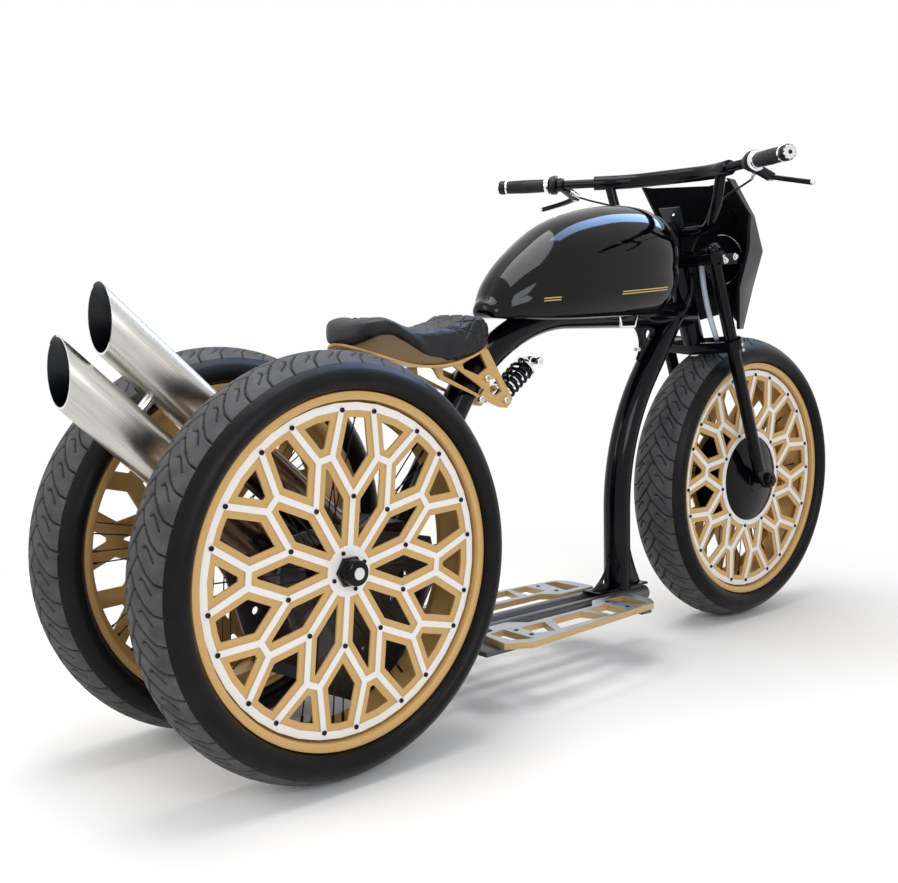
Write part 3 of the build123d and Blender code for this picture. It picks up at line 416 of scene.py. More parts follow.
def bar(start, end, radius, sides=16, end_radius=None):
    """A round bar between two points, in metres; end_radius gives it a taper."""
    bpy.ops.object.select_all(action="DESELECT")
    direction = end - start
    bpy.ops.mesh.primitive_cone_add(vertices=sides, radius1=radius, radius2=end_radius or radius,
                                    depth=direction.length)
    piece = bpy.context.object
    stand(piece, (start + end) / 2, direction)
    return piece


def join(pieces):
    """Joins pieces into the first of them."""
    bpy.ops.object.select_all(action="DESELECT")
    for piece in pieces:
        piece.select_set(True)
    bpy.context.view_layer.objects.active = pieces[0]
    if len(pieces) > 1:
        bpy.ops.object.join()
    return bpy.context.object


def copy_of(piece, transform):
    """A copy with its own mesh, moved by a matrix."""
    made = piece.copy()
    made.data = piece.data.copy()
    made.data.transform(transform)
    bpy.context.scene.collection.objects.link(made)
    if transform.determinant() < 0:
        edit(made)
        bpy.ops.mesh.flip_normals()
        leave_edit()
    return made


dome_share = 0.18  # How far in and up a screw head's sloping edge reaches
# Screw heads by place: radius and height in metres, the socket's share of the radius, sides
screw_sizes = {
    "disc": (0.0042, 0.0026, 0.5, 20),
    "hub": (0.0036, 0.00288, 0.5, 20),
    "bar_end": (0.0045, 0.0016, 0.5, 24),
    "lug": (0.0038, 0.003, 0.55, 20),
    "lever_pin": (0.0048, 0.003, 0.55, 24),
    "shield": (0.0035, 0.002, 0.5, 20),
    "pinch": (0.0042, 0.0036, 0.55, 20),
    "stay": (0.0064, 0.0056, 0.5, 6),
    "board": (0.0052, 0.0012, 0.5, 24),
    "bracket": (0.0075, 0.006, 0.5, 24),
    "shock": (0.0095, 0.007, 0.45, 6),
    "gusset": (0.005, 0.004, 0.5, 6),
    "cover": (0.0036, 0.003, 0.5, 16),
}


def bolt_head(at_place, outward, kind):
    """A screw's head, sloping at its edge and sunk in its middle, standing out along a direction."""
    radius, height, socket, sides = screw_sizes[kind]
    bpy.ops.object.select_all(action="DESELECT")
    bpy.ops.mesh.primitive_cylinder_add(vertices=sides, radius=radius, depth=height, location=(0, 0, height / 2))
    piece = bpy.context.object
    settle(piece)
    pick_nothing(piece, "FACE")
    for face in piece.data.polygons:
        face.select = face.normal.z > 0.9
    reopen(piece)
    bpy.ops.mesh.inset(thickness=radius * dome_share, depth=height * dome_share)
    bpy.ops.mesh.inset(thickness=radius * (1 - dome_share - socket), depth=0)
    bpy.ops.mesh.inset(thickness=radius * 0.02, depth=-height * 0.5)
    leave_edit()
    stand(piece, at_place, outward)
    smooth(piece, 40)
    return piece


def mirrored(piece):
    """A mirror image of a piece on the other side of the middle plane."""
    return copy_of(piece, Matrix.Scale(-1, 4, (0, 1, 0)))


def cable(name, route, radius, finish, body, cad_node):
    """A cable on one smooth spline through its route."""
    data = bpy.data.curves.new(name, "CURVE")
    data.dimensions = "3D"
    data.bevel_depth = radius * mm
    data.bevel_resolution = 4
    data.use_fill_caps = True
    data.resolution_u = 12
    spline = data.splines.new("NURBS")
    spline.points.add(len(route) - 1)
    for point, place in zip(spline.points, route):
        point.co = (*at(*place), 1)
    spline.order_u = 3
    spline.use_endpoint_u = True
    piece = bpy.data.objects.new(name, data)
    bpy.context.scene.collection.objects.link(piece)
    data.materials.append(finish)
    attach(piece, body)
    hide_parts(cad_node)
    return piece


lever_cable_route = (
    (1126, -257, 1100), (1134, -232, 1091), (1146, -200, 1082), (1163, -160, 1070), (1182, -118, 1052),
    (1202, -82, 1026), (1221, -50, 992), (1222, -33, 970), (1216, -30, 952),
)
tank_cable_route = (
    (1212, -33, 888), (1215, -33, 866), (1209, -35, 838), (1186, -39, 810), (1150, -43, 792),
    (1106, -45, 784), (1064, -45, 781), (1030, -44, 786), (1012, -44, 804),
)
hose_route = (
    (1219, -55, 930), (1227, -55, 888), (1238, -55, 848), (1254, -55, 806), (1274, -55, 768), (1293, -55, 734),
)
left_cable_route = [(x, -y, z) for x, y, z in lever_cable_route]
lever_cable_radius = 2.5
tank_cable_radius = 3.0
hose_radius = 7.0
for side_name, lever_route in (("right", lever_cable_route), ("left", left_cable_route)):
    cable(f"{side_name}_lever_cable", lever_route, lever_cable_radius, cable_sheath, "steering",
          "lever_cables")
cable("tank_lead", tank_cable_route, tank_cable_radius, cable_sheath, "frame", "tank_cable")
cable("breather_hose", hose_route, hose_radius, hose_finish, "steering", "fork_hose")

# ------------------------------------------------------------------ tyres
wheel_height = 370.0
wheelbase = 1465.0
rear_offset = 183.0
front_centre = at(wheelbase, 0, wheel_height)
right_centre = at(0, -rear_offset, wheel_height)
left_centre = at(0, rear_offset, wheel_height)
tread_half = 57.0
tread_pitches = 48
columns_per_pitch = 22
tread_rows = 46
groove_depth = 4.2
groove_shoulder = 0.8  # How far a groove's slope starts outside its half width
groove_slope = 1.5
lowest_groove = 346.0
lowest_tread = 345.0
crown_points = 5  # The points of the wall's curve that lie on the crown
crown_power = 6
wall_swell = (0.25, 0.2)  # How far the wall stands out between the points of its curve
tyre_inside = ((304.6, 51.6), (292.4, 51.6), (292.4, 40.0), (320.0, 63.0), (340.0, 58.0), (352.0, 30.0))

# The tread's grooves: (share of a pitch along, offset across) points, and half widths
arm_line = ((0.0, 7.0), (0.26, 18.0), (0.56, 30.0), (0.80, 43.0), (0.90, 58.0))
hook_line = ((0.74, 17.0), (0.66, 22.0), (0.80, 29.0), (1.14, 40.0))
centre_line = ((0.0, 7.0), (0.5, -7.0), (1.0, 7.0))
arm_half_width = 1.5
centre_half_width = 1.3
hook_half_width = 1.2

wall_curve = (
    (0.0, 370.0), (15.0, 368.9), (29.5, 365.0), (45.0, 358.4), (57.0, 350.6), (59.0, 348.6), (63.0, 345.2),
    (69.5, 339.0), (75.0, 329.0), (75.4, 321.0), (72.5, 314.0), (67.5, 309.2), (62.0, 306.4), (59.6, 305.4),
)


def crown_radius(across):
    """The tyre's outer radius at a distance from its middle plane, along a smooth curve."""
    offsets = [p[0] for p in wall_curve[:crown_points]]
    radii = [p[1] for p in wall_curve[:crown_points]]
    smooth_line = np.polyfit([-v for v in offsets] + offsets, radii * 2, crown_power)
    return float(np.polyval(smooth_line, across))


def tyre_outline():
    """The tyre's section as (radius, offset) points, round from the right bead to the left."""
    tread = [(crown_radius(v), v) for v in np.linspace(-tread_half, tread_half, tread_rows)]
    wall = []
    for (v0, r0), (v1, r1) in zip(wall_curve[crown_points:], wall_curve[crown_points + 1:]):
        wall.append((r0, v0))
        wall.append(((r0 + r1) / 2 + wall_swell[0], (v0 + v1) / 2 + wall_swell[1]))
    wall.append(wall_curve[-1][::-1])
    left = wall + list(tyre_inside)
    right = [(r, -v) for r, v in reversed(left)]
    return tread + left + right


def groove_paths(pitch):
    """The tread's grooves as lines of (along, across) points in one pitch, with a half width each."""
    paths = [([(share * pitch, across) for share, across in centre_line], centre_half_width)]
    for line, half_width in ((arm_line, arm_half_width), (hook_line, hook_half_width)):
        paths.append(([(share * pitch, across) for share, across in line], half_width))
        paths.append(([((share + 0.5) * pitch, -across) for share, across in line], half_width))
    return paths


def line_distance(points, path):
    """Each point's distance from a line of straight runs."""
    nearest = np.full(len(points), 1e9)
    for a, b in zip(path, path[1:]):
        a, b = np.array(a), np.array(b)
        run = b - a
        share = np.clip(((points - a) @ run) / (run @ run), 0, 1)
        nearest = np.minimum(nearest, np.linalg.norm(points - (a + share[:, None] * run), axis=1))
    return nearest


def cut_tread(piece, centre):
    """Presses the grooves into the crown and marks their depth, which the tread's finish uses for painted shade in
    them.
    """
    count = len(piece.data.vertices)
    places = np.empty(count * 3)
    piece.data.vertices.foreach_get("co", places)
    places = places.reshape(-1, 3)
    local = (places - np.array(centre)) / mm
    radius = np.hypot(local[:, 0], local[:, 2])
    angle = np.arctan2(local[:, 2], local[:, 0]) % (2 * pi)
    pitch = 2 * pi * wheel_height / tread_pitches
    along = (angle * wheel_height) % pitch
    across = local[:, 1]
    on_tread = (np.abs(across) <= tread_half + 0.5) & (radius > lowest_groove)
    depth = np.zeros(count)
    spots = np.stack([along, across], axis=1)
    for path, half_width in groove_paths(pitch):
        for turn in (-2, -1, 0, 1):
            shifted = [(s + turn * pitch, v) for s, v in path]
            gap = line_distance(spots, shifted)
            depth = np.maximum(depth, np.clip((half_width + groove_shoulder - gap) / groove_slope, 0, 1))
    depth *= on_tread
    shrink = 1 - depth * groove_depth / np.maximum(radius, 1)
    local[:, 0] *= shrink
    local[:, 2] *= shrink
    piece.data.vertices.foreach_set("co", (local * mm + np.array(centre)).ravel())
    mark = piece.data.attributes.new("groove", "FLOAT", "POINT")
    mark.data.foreach_set("value", depth)
    piece.data.update()


def make_tyre():
    """The front tyre, with the grooves in its tread; its crown has the dusty finish."""
    piece = spun(tyre_outline(), front_centre, steps=tread_pitches * columns_per_pitch)
    cut_tread(piece, front_centre)
    piece.data.materials.append(wall_rubber)
    piece.data.materials.append(tread_rubber)
    for face in piece.data.polygons:
        out = face.center - front_centre
        reach = hypot(out.x, out.z) / mm
        face.material_index = 1 if abs(out.y) / mm < tread_half and reach > lowest_tread else 0
    smooth(piece, 50)
    return piece


# Painted shade: the tread's colour is darkened to near black in its grooves, by their marked depth
painted_shade_groove_mark = node(tread_rubber, "ShaderNodeAttribute", attribute_name="groove")
tread_colour = shader_of(tread_rubber).inputs["Base Color"].links[0].from_socket
painted_groove_shade = node(tread_rubber, "ShaderNodeMix", data_type="RGBA")
painted_groove_shade.inputs["B"].default_value = (0.004, 0.004, 0.004, 1)
link(tread_rubber, painted_shade_groove_mark.outputs["Fac"], painted_groove_shade.inputs["Factor"])
link(tread_rubber, tread_colour, painted_groove_shade.inputs["A"])
link(tread_rubber, painted_groove_shade.outputs["Result"], shader_of(tread_rubber).inputs["Base Color"])


def place_tyre(piece, name, body, cad_node):
    """Hands a tyre over with both of its finishes kept."""
    piece.name = name
    piece.data.name = name
    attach(piece, body)
    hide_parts(cad_node)


# Each wheel's name, centre, body and the sides that its discs are on
wheel_places = (
    ("rear_right", right_centre, "rear_wheel_right", (-1,)),
    ("rear_left", left_centre, "rear_wheel_left", (1,)),
    ("front", front_centre, "front_wheel", (-1, 1)),
)
first_tyre = make_tyre()
for wheel, centre, body, _ in wheel_places:
    if wheel == "front":
        place_tyre(first_tyre, "front_tyre_treaded", body, "front_tyre")
    else:
        tyre = copy_of(first_tyre, Matrix.Translation(centre - front_centre))
        place_tyre(tyre, f"{wheel}_tyre_treaded", body, f"{wheel}_tyre")

# ------------------------------------------------------------------ rims, discs, hubs and spokes
flange_offset = 27.5
flange_radius = 34.0
wires_per_flange = 16
wire_lead = 9.0
wire_radius = 0.0013
nipple_seat = 273.5
nipple_offset = 9.0
nipple_radius = 0.0026
nipple_length = 0.016
hub_screw_count = 4
hub_screw_circle = 34.0
hub_screw_phase = 21.0
disc_face = 47.6
screw_sink = 0.2  # How far below a disc's face its screws start
inner_node_radius = 126.7
outer_node_radius = 271.9
outer_half_angle = 10.9
lattice_count = 10  # Petals of a disc's lattice
disc_phases = {"rear_right": 85.0, "rear_left": 85.0, "front": 80.2}
rim_outline = (
    (276.0, 25.0), (292.0, 35.0), (292.0, 51.0), (294.0, 52.6), (302.0, 53.2), (303.3, 54.2), (303.5, 57.0),
    (302.6, 58.6), (300.8, 59.0), (291.5, 58.4), (289.0, 57.0), (288.2, 54.0), (288.0, 37.0), (272.0, 25.0),
)
rear_hub_outline = (
    (12.6, -42.0), (27.0, -42.0), (28.0, -41.0), (28.0, -30.0), (36.5, -30.0), (37.0, -29.0), (37.0, -26.0),
    (36.0, -25.0), (28.0, -24.0), (26.0, -20.0), (26.0, 20.0), (28.0, 24.0), (36.0, 25.0), (37.0, 26.0),
    (37.0, 30.0), (42.5, 32.0), (44.0, 33.5), (44.0, 41.1), (12.6, 41.1),
)
hub_cap_outline = (
    (0.0, 41.2), (18.0, 41.2), (18.0, 47.9), (23.4, 47.9), (23.4, 56.0), (22.6, 57.0), (22.2, 59.0), (22.2, 70.0),
    (21.2, 73.6), (18.6, 75.4), (11.4, 76.0), (10.9, 75.2), (0.0, 75.2),
)
hub_cap_disc = ((0.0, 75.0), (10.4, 75.0), (10.7, 75.8), (10.3, 76.8), (5.0, 77.0), (0.0, 77.0))
hub_cap_hexagon = ((14.0, 47.8), (27.4, 47.8), (27.8, 48.6), (27.8, 54.4), (26.8, 55.4), (14.0, 55.4))
dome_outline = (
    (12.6, 41.2), (110.0, 41.2), (110.8, 48.5), (109.5, 50.5), (104.0, 52.8), (96.0, 56.0), (80.0, 60.2),
    (62.0, 63.8), (44.0, 66.6), (36.0, 67.6), (34.0, 69.4), (32.0, 69.6), (12.6, 69.6),
)
dome_seat_outline = ((12.6, 30.0), (37.0, 30.0), (122.0, 37.4), (122.0, 41.0), (12.6, 41.0))
dome_barrel_outline = (
    (12.6, -29.9), (28.0, -29.9), (37.0, -29.9), (37.0, -25.0), (28.0, -24.0), (28.0, 24.0), (37.0, 25.0),
    (37.0, 29.9), (12.6, 29.9),
)


def wheel_point(centre, outward, radius, angle, height):
    """A point of a wheel at a radius and angle in degrees, height out from its middle plane."""
    turn = radians(angle)
    return centre + Vector((radius * cos(turn) * mm, outward * height * mm, radius * sin(turn) * mm))


def make_rim():
    """The front rim, rolled over at both lips."""
    outline = list(rim_outline) + [(r, -v) for r, v in reversed(rim_outline)]
    piece = spun(outline, front_centre, steps=160)
    smooth(piece, 30)
    return piece


def make_spokes(centre):
    """A wheel's wire spokes, leaning forward and back by turns, each with its nipple."""
    rods = []
    step = 360 / wires_per_flange
    for side in (1, -1):
        for i in range(wires_per_flange):
            angle = step * (i + (0.5 if side < 0 else 0))
            lean = wire_lead * (1 if i % 2 else -1)
            root = wheel_point(centre, side, flange_radius, angle, flange_offset)
            tip = wheel_point(centre, side, nipple_seat, angle + lean, nipple_offset)
            rods.append(bar(root, tip, wire_radius, 8))
            rods.append(bar(tip + (root - tip).normalized() * nipple_length, tip, nipple_radius, 6))
    piece = join(rods)
    smooth(piece, 50)
    return piece


def wheel_bolts(centre, outward, spots, kind, face):
    """Cap screws on a wheel at (radius, angle) spots, standing out from a face."""
    model = bolt_head(origin, (0, outward, 0), kind)
    heads = []
    for radius, angle in spots:
        heads.append(copy_of(model, Matrix.Translation(wheel_point(centre, outward, radius, angle, face))))
    bpy.data.objects.remove(model)
    return join(heads)


def disc_bolts(centre, outward, phase):
    """Black cap screws where a disc's strips meet each other and its ring."""
    step = 360 / lattice_count
    spots = []
    for k in range(lattice_count):
        spots.append((inner_node_radius, phase - step * k))
        spots.append((outer_node_radius, phase - step * (k + 0.5) - outer_half_angle))
        spots.append((outer_node_radius, phase - step * (k + 0.5) + outer_half_angle))
    return wheel_bolts(centre, outward, spots, "disc", disc_face - screw_sink)


def hub_bolts(centre, outward):
    """A ring of cap screws round a rear hub's cap."""
    spots = [(hub_screw_circle, hub_screw_phase + 360 * k / hub_screw_count) for k in range(hub_screw_count)]
    return wheel_bolts(centre, outward, spots, "hub", disc_face - screw_sink)


def turned_part(name, outline, centre, outward, steps, angle, finish, slot, body, *nodes, closed=True):
    """Spins an outline about a wheel's axle, smooths it and hands it over."""
    piece = spun(outline, centre, outward, steps, closed)
    smooth(piece, angle)
    return hand_over(piece, name, finish, slot, body, *nodes)


first_rim = make_rim()
first_spokes = make_spokes(front_centre)
for wheel, centre, body, sides in wheel_places:
    shift = Matrix.Translation(centre - front_centre)
    rim = first_rim if wheel == "front" else copy_of(first_rim, shift)
    hand_over(rim, f"{wheel}_rim_rolled", paint_gold, "gold", body, f"{wheel}_rim")
    spokes = first_spokes if wheel == "front" else copy_of(first_spokes, shift)
    hand_over(spokes, f"{wheel}_spokes", spoke_black, "gloss_black", body, f"{wheel}_hub")
    dress(f"{wheel}_lattice", paint_gold, angle=20, edge=0.0005, name=f"{wheel}_gold_lattice")
    dress(f"{wheel}_overlay", paint_white, angle=20, edge=0.0004, name=f"{wheel}_white_strips")
    for outward in sides:
        screws = disc_bolts(centre, outward, disc_phases[wheel])
        hand_over(screws, f"{wheel}_disc_screws_{side_names[outward]}", bolt_black, "gloss_black", body)
    if wheel == "front":
        black_hub = (paint_black, "gloss_black", body, "front_hub")
        turned_part("front_hub_barrel", dome_barrel_outline, centre, 1, 64, 30, *black_hub)
        for outward in sides:
            mark = side_names[outward]
            turned_part(f"front_dome_seat_{mark}", dome_seat_outline, centre, outward, 96, 30, *black_hub)
            turned_part(f"front_dome_{mark}", dome_outline, centre, outward, 128, 24, *black_hub)
    else:
        outward = sides[0]
        black_hub = (paint_black, "gloss_black", body, f"{wheel}_hub")
        turned_part(f"{wheel}_hub_barrel", rear_hub_outline, centre, outward, 64, 30, *black_hub)
        turned_part(f"{wheel}_hub_cap", hub_cap_outline, centre, outward, 64, 30, *black_hub, closed=False)
        turned_part(f"{wheel}_cap_disc", hub_cap_disc, centre, outward, 64, 30, alloy_plain, "alloy", body,
                    closed=False)
        turned_part(f"{wheel}_cap_hexagon", hub_cap_hexagon, centre, outward, 6, 20, bolt_black, "gloss_black", body)
        hand_over(hub_bolts(centre, outward), f"{wheel}_hub_screws", bolt_black, "gloss_black", body)

# ------------------------------------------------------------------ tank
head_x = 1243.14
backbone_height = 799.0
# Behind the head, half width, bottom and top over the backbone's axis
tank_stations = (
    (703.0, 36.0, -7.0, 31.0), (672.0, 60.0, -9.0, 79.0), (615.0, 85.0, -10.0, 134.0), (515.0, 110.0, -10.0, 200.0),
    (400.0, 121.0, -6.0, 236.0), (290.0, 122.0, -1.0, 251.0), (215.0, 112.0, 5.0, 250.0), (178.0, 96.0, 30.0, 238.0),
)
tank_front = 178.0
tank_tail = 703.0
tank_columns = 72
tank_round = 44
# The section's points as shares of its half width and height, from the floor's edge to the crown
floor_edge = 0.70
tank_corner = (0.95, 0.13)
widest_height = 0.40
tank_shoulder = (0.74, 0.83)
# Rounded ends: (share of the end's section, distance past it)
tail_cap = ((0.0, 17.0), (0.35, 16.0), (0.62, 13.0), (0.82, 8.0), (0.94, 3.5))
front_cap = ((0.955, 9.0), (0.90, 12.5), (0.80, 15.5), (0.62, 17.5), (0.35, 18.4), (0.0, 18.6))
# The rolled seam at the front edge: (distance past it, growth)
front_seam = ((1.2, 2.0), (3.0, 3.0), (5.0, 2.0), (6.2, -1.5))
stripe_runs = ((628.0, 668.0), (840.0, 1004.0))
stripe_rises = (0.0, 5.2)
stripe_half = 1.1
stripe_height = 825.0
stripe_start = 600.0
stripe_lift = 0.25
stripe_thickness = 0.0004
stripe_slope = 0.075
stripe_steps = 24


def arc_spots(a, b, c, count):
    """Points along the arc through three points of a plane."""
    (ax, ay), (bx, by), (cx, cy) = a, b, c
    d = 2 * (ax * (by - cy) + bx * (cy - ay) + cx * (ay - by))
    ux = ((ax**2 + ay**2) * (by - cy) + (bx**2 + by**2) * (cy - ay) + (cx**2 + cy**2) * (ay - by)) / d
    uy = ((ax**2 + ay**2) * (cx - bx) + (bx**2 + by**2) * (ax - cx) + (cx**2 + cy**2) * (bx - ax)) / d
    radius = hypot(ax - ux, ay - uy)
    turns = [atan2(y - uy, x - ux) for x, y in (a, b, c)]
    while turns[1] < turns[0]:
        turns[1] += 2 * pi
    while turns[2] < turns[1]:
        turns[2] += 2 * pi
    if turns[2] - turns[0] > 2 * pi:
        turns = [atan2(y - uy, x - ux) for x, y in (a, b, c)]
        while turns[1] > turns[0]:
            turns[1] -= 2 * pi
        while turns[2] > turns[1]:
            turns[2] -= 2 * pi
    return [(ux + radius * cos(turns[0] + (turns[2] - turns[0]) * k / count),
             uy + radius * sin(turns[0] + (turns[2] - turns[0]) * k / count)) for k in range(count + 1)]


def tank_measure(behind, which):
    """Half width, bottom or top of the tank at a distance behind the head, on a smooth curve."""
    spots = [station[0] for station in reversed(tank_stations)]
    values = [station[which] for station in reversed(tank_stations)]
    i = max(0, min(len(spots) - 2, int(np.searchsorted(spots, behind)) - 1))
    slopes = []
    for k in range(len(spots)):
        low, high = max(0, k - 1), min(len(spots) - 1, k + 1)
        slopes.append((values[high] - values[low]) / (spots[high] - spots[low]))
    run = spots[i + 1] - spots[i]
    t = (behind - spots[i]) / run
    return ((2 * t**3 - 3 * t**2 + 1) * values[i] + (t**3 - 2 * t**2 + t) * run * slopes[i]
            + (3 * t**2 - 2 * t**3) * values[i + 1] + (t**3 - t**2) * run * slopes[i + 1])


def tank_ring(behind, grow=0.0):
    """The tank's section there, as (side, height) points all the way round from the floor's middle."""
    half = tank_measure(behind, 1) + grow
    bottom = backbone_height + tank_measure(behind, 2) - grow
    height = tank_measure(behind, 3) - tank_measure(behind, 2) + 2 * grow
    count = tank_round // 4
    corner = (tank_corner[0] * half, bottom + tank_corner[1] * height)
    widest = (half, bottom + widest_height * height)
    shoulder = (tank_shoulder[0] * half, bottom + tank_shoulder[1] * height)
    low = arc_spots((floor_edge * half, bottom), corner, widest, count)
    high = arc_spots(widest, shoulder, (0, bottom + height), 2 * count)
    floor = [(floor_edge * half * k / 4, bottom) for k in range(4)]
    right = floor + low + high[1:]
    left = [(-y, z) for y, z in reversed(right[1:-1])]
    return right + left


def shrunk_ring(ring, share):
    """A section drawn in towards its middle height."""
    middle = sum(z for _, z in ring) / len(ring)
    return [(y * share, middle + (z - middle) * share) for y, z in ring]


def tank_rows():
    """Sections from the tail to the front panel, with a rolled seam at the front edge."""
    rows = []
    for share, back in tail_cap:
        rows.append((tank_tail + back, shrunk_ring(tank_ring(tank_tail), share)))
    for k in range(tank_columns + 1):
        behind = tank_tail + (tank_front - tank_tail) * k / tank_columns
        rows.append((behind, tank_ring(behind)))
    for ahead, grow in front_seam:
        rows.append((tank_front - ahead, tank_ring(tank_front, grow)))
    for share, ahead in front_cap:
        rows.append((tank_front - ahead, shrunk_ring(tank_ring(tank_front), share)))
    return rows


def make_tank():
    """The tank's shell as one smooth skin from tail to front panel."""
    piece = sheet_of([[at(head_x - behind, side, height) for side, height in ring] for behind, ring in tank_rows()])
    merge_doubles(piece, outward=True)
    smooth(piece, 46)
    return piece


def tank_side(x, z):
    """How far out the tank's side lies at a place of its side view."""
    ring = tank_ring(head_x - x)
    upper = [(h, y) for y, h in ring[4:len(ring) // 2 + 1]]
    upper.sort()
    return float(np.interp(z, [h for h, _ in upper], [y for _, y in upper]))


def pinstripes(side):
    """Twin gold lines low on the tank's side, with a bare space between their two runs."""
    runs = []
    for first, last in stripe_runs:
        for rise in stripe_rises:
            bpy.ops.object.select_all(action="DESELECT")
            bpy.ops.mesh.primitive_grid_add(x_subdivisions=stripe_steps, y_subdivisions=1, size=1)
            line = bpy.context.object
            for k, vertex in enumerate(line.data.vertices):
                x = first + (last - first) * (k % (stripe_steps + 1)) / stripe_steps
                z = stripe_height + (x - stripe_start) * stripe_slope + rise
                z += stripe_half if k > stripe_steps else -stripe_half
                vertex.co = at(x, side * (tank_side(x, z) + stripe_lift), z)
            runs.append(line)
    piece = join(runs)
    apply_modifier(piece, "SOLIDIFY", thickness=stripe_thickness, offset=0.0)
    return piece


tank_shell = make_tank()
hand_over(tank_shell, "tank_shell", paint_tank, "gloss_black", "frame", "tank")
for side, mark in side_names.items():
    hand_over(pinstripes(side), f"tank_pinstripes_{mark}", pinstripe, "gold", "frame")

# ------------------------------------------------------------------ seat
leather = new_finish("seat_leather", (0.008, 0.008, 0.009), 0.0, 0.38, Specular_IOR_Level=0.25)
pebble = node(leather, "ShaderNodeTexVoronoi", Scale=620.0, feature="DISTANCE_TO_EDGE")
link(leather, object_place(leather), pebble.inputs["Vector"])
crease = grain(leather, 45.0, detail=6.0)
link(leather, ranged(leather, crease, 0.34, 0.52), shader_of(leather).inputs["Roughness"])
vary_colour(leather, ranged(leather, crease, 0, 1), (0.006, 0.006, 0.007), (0.013, 0.013, 0.015))
bump(leather, pebble.outputs["Distance"], 0.35, 0.0005)

seat_tail_centre = 240.0
seat_tail_radius = 92.0
seat_nose_centre = 446.0
seat_nose_radius = 76.0
bolster_width = 50.0
bolster_end = 418.0
bolster_taper = 110.0
taper_power = 0.7
opening_start = 404.0  # Ahead of this the quilting spreads past the seat's outline
opening_run = 14.0
opening_width = 16.0
# The share of its full thickness that the cushion keeps along its length
roll_places = (148.0, 160.0, 176.0, 198.0, 229.0, 269.0, 309.0, 350.0, 392.0)
roll_shares = (1.0, 0.95, 0.70, 0.46, 0.38, 0.54, 0.74, 0.90, 1.0)
quilt_pitch = 34.0
quilt_lean = 0.86
quilt_power = 7
quilt_depth = 2.9
quilt_rise = 1.0
wrap_limit = 60.0  # How far down the sides the quilting is wrapped
stitch_start = 3.0
stitch_run = 5.0
profile_start = 140.0
profile_end = 540.0
profile_step = 5.0
profile_reach = 6.0
# How much a face that looks up is shaped: all of it where gain * normal + floor reaches 1
facing_gain = 1.8
facing_floor = 0.35
nose_facing_floor = 1.0
cushion_voxel = 0.005
cushion_pressure = 4.0
cloth_frames = 20
swell_limit = 0.007
# Welts: place inside the seam, half width and depth
welt_place, welt_width, welt_depth = 1.0, 1.7, 3.6
second_place, second_width, second_depth = -6.0, 1.4, 1.8
bolster_rise = 2.4
welt_ends = 410.0  # Ahead of this the cushion has no welt
nose_starts = 400.0  # Ahead of this the quilting goes down the sides too
wall_narrowing = (0.93, 0.86)  # The pan wall's length and width, as shares of the seat's
wall_drop = 0.012
wall_full_drop = 0.03  # The height at which the wall is lowered by all of it
wall_voxel = 0.003


def inside_seat(x, y):
    """How far a plan point lies inside the seat's outline."""
    share = np.clip((x - seat_tail_centre) / (seat_nose_centre - seat_tail_centre), 0, 1)
    middle = seat_tail_centre + share * (seat_nose_centre - seat_tail_centre)
    radius = seat_tail_radius + share * (seat_nose_radius - seat_tail_radius)
    return radius - np.hypot(x - middle, y)


def seam_gap(x, y):
    """Distance in plan from the welt between the smooth bolster and the quilted middle."""
    narrowing = np.clip((bolster_end - x) / bolster_taper, 0.0, 1.0) ** taper_power
    opening = opening_width * np.clip((x - opening_start) / opening_run, 0.0, 1.0)
    return inside_seat(x, y) - (bolster_width * narrowing - opening)


def quilt(x, y):
    """How deep the diamond stitching pulls the cover in, from 0 on a crown to 1 in a line."""
    one = np.abs(((x + y * quilt_lean) / quilt_pitch) % 1 - 0.5) * 2
    two = np.abs(((x - y * quilt_lean) / quilt_pitch) % 1 - 0.5) * 2
    return np.maximum(one, two) ** quilt_power


def top_line(x, z):
    """The cushion's highest point at each place along it."""
    bins, tops = [], []
    for middle in np.arange(profile_start, profile_end, profile_step):
        near = np.abs(x - middle) < profile_reach
        if near.any():
            bins.append(middle)
            tops.append(z[near].max())
    return np.interp(x, bins, tops)


def vertex_places(piece):
    """A piece's vertices as rows of an array, in metres."""
    return np.array([vertex.co[:] for vertex in piece.data.vertices])


def set_places(piece, places):
    """Moves a piece's vertices to the rows of an array."""
    for vertex, place in zip(piece.data.vertices, places):
        vertex.co = place


def swell(piece):
    """Swells a piece by a short run of cloth under pressure, and gives its vertices' places."""
    before = vertex_places(piece)
    cloth = piece.modifiers.new("padding", "CLOTH")
    cloth.settings.use_pressure = True
    cloth.settings.uniform_pressure_force = cushion_pressure
    cloth.settings.effector_weights.gravity = 0.0
    for step in range(1, cloth_frames + 1):
        bpy.context.scene.frame_set(step)
    only(piece)
    bpy.ops.object.modifier_apply(modifier="padding")
    bpy.context.scene.frame_set(1)
    move = vertex_places(piece) - before
    reach = np.linalg.norm(move, axis=1)
    move *= np.minimum(1.0, swell_limit / np.maximum(reach, 1e-9))[:, None]
    return before + move


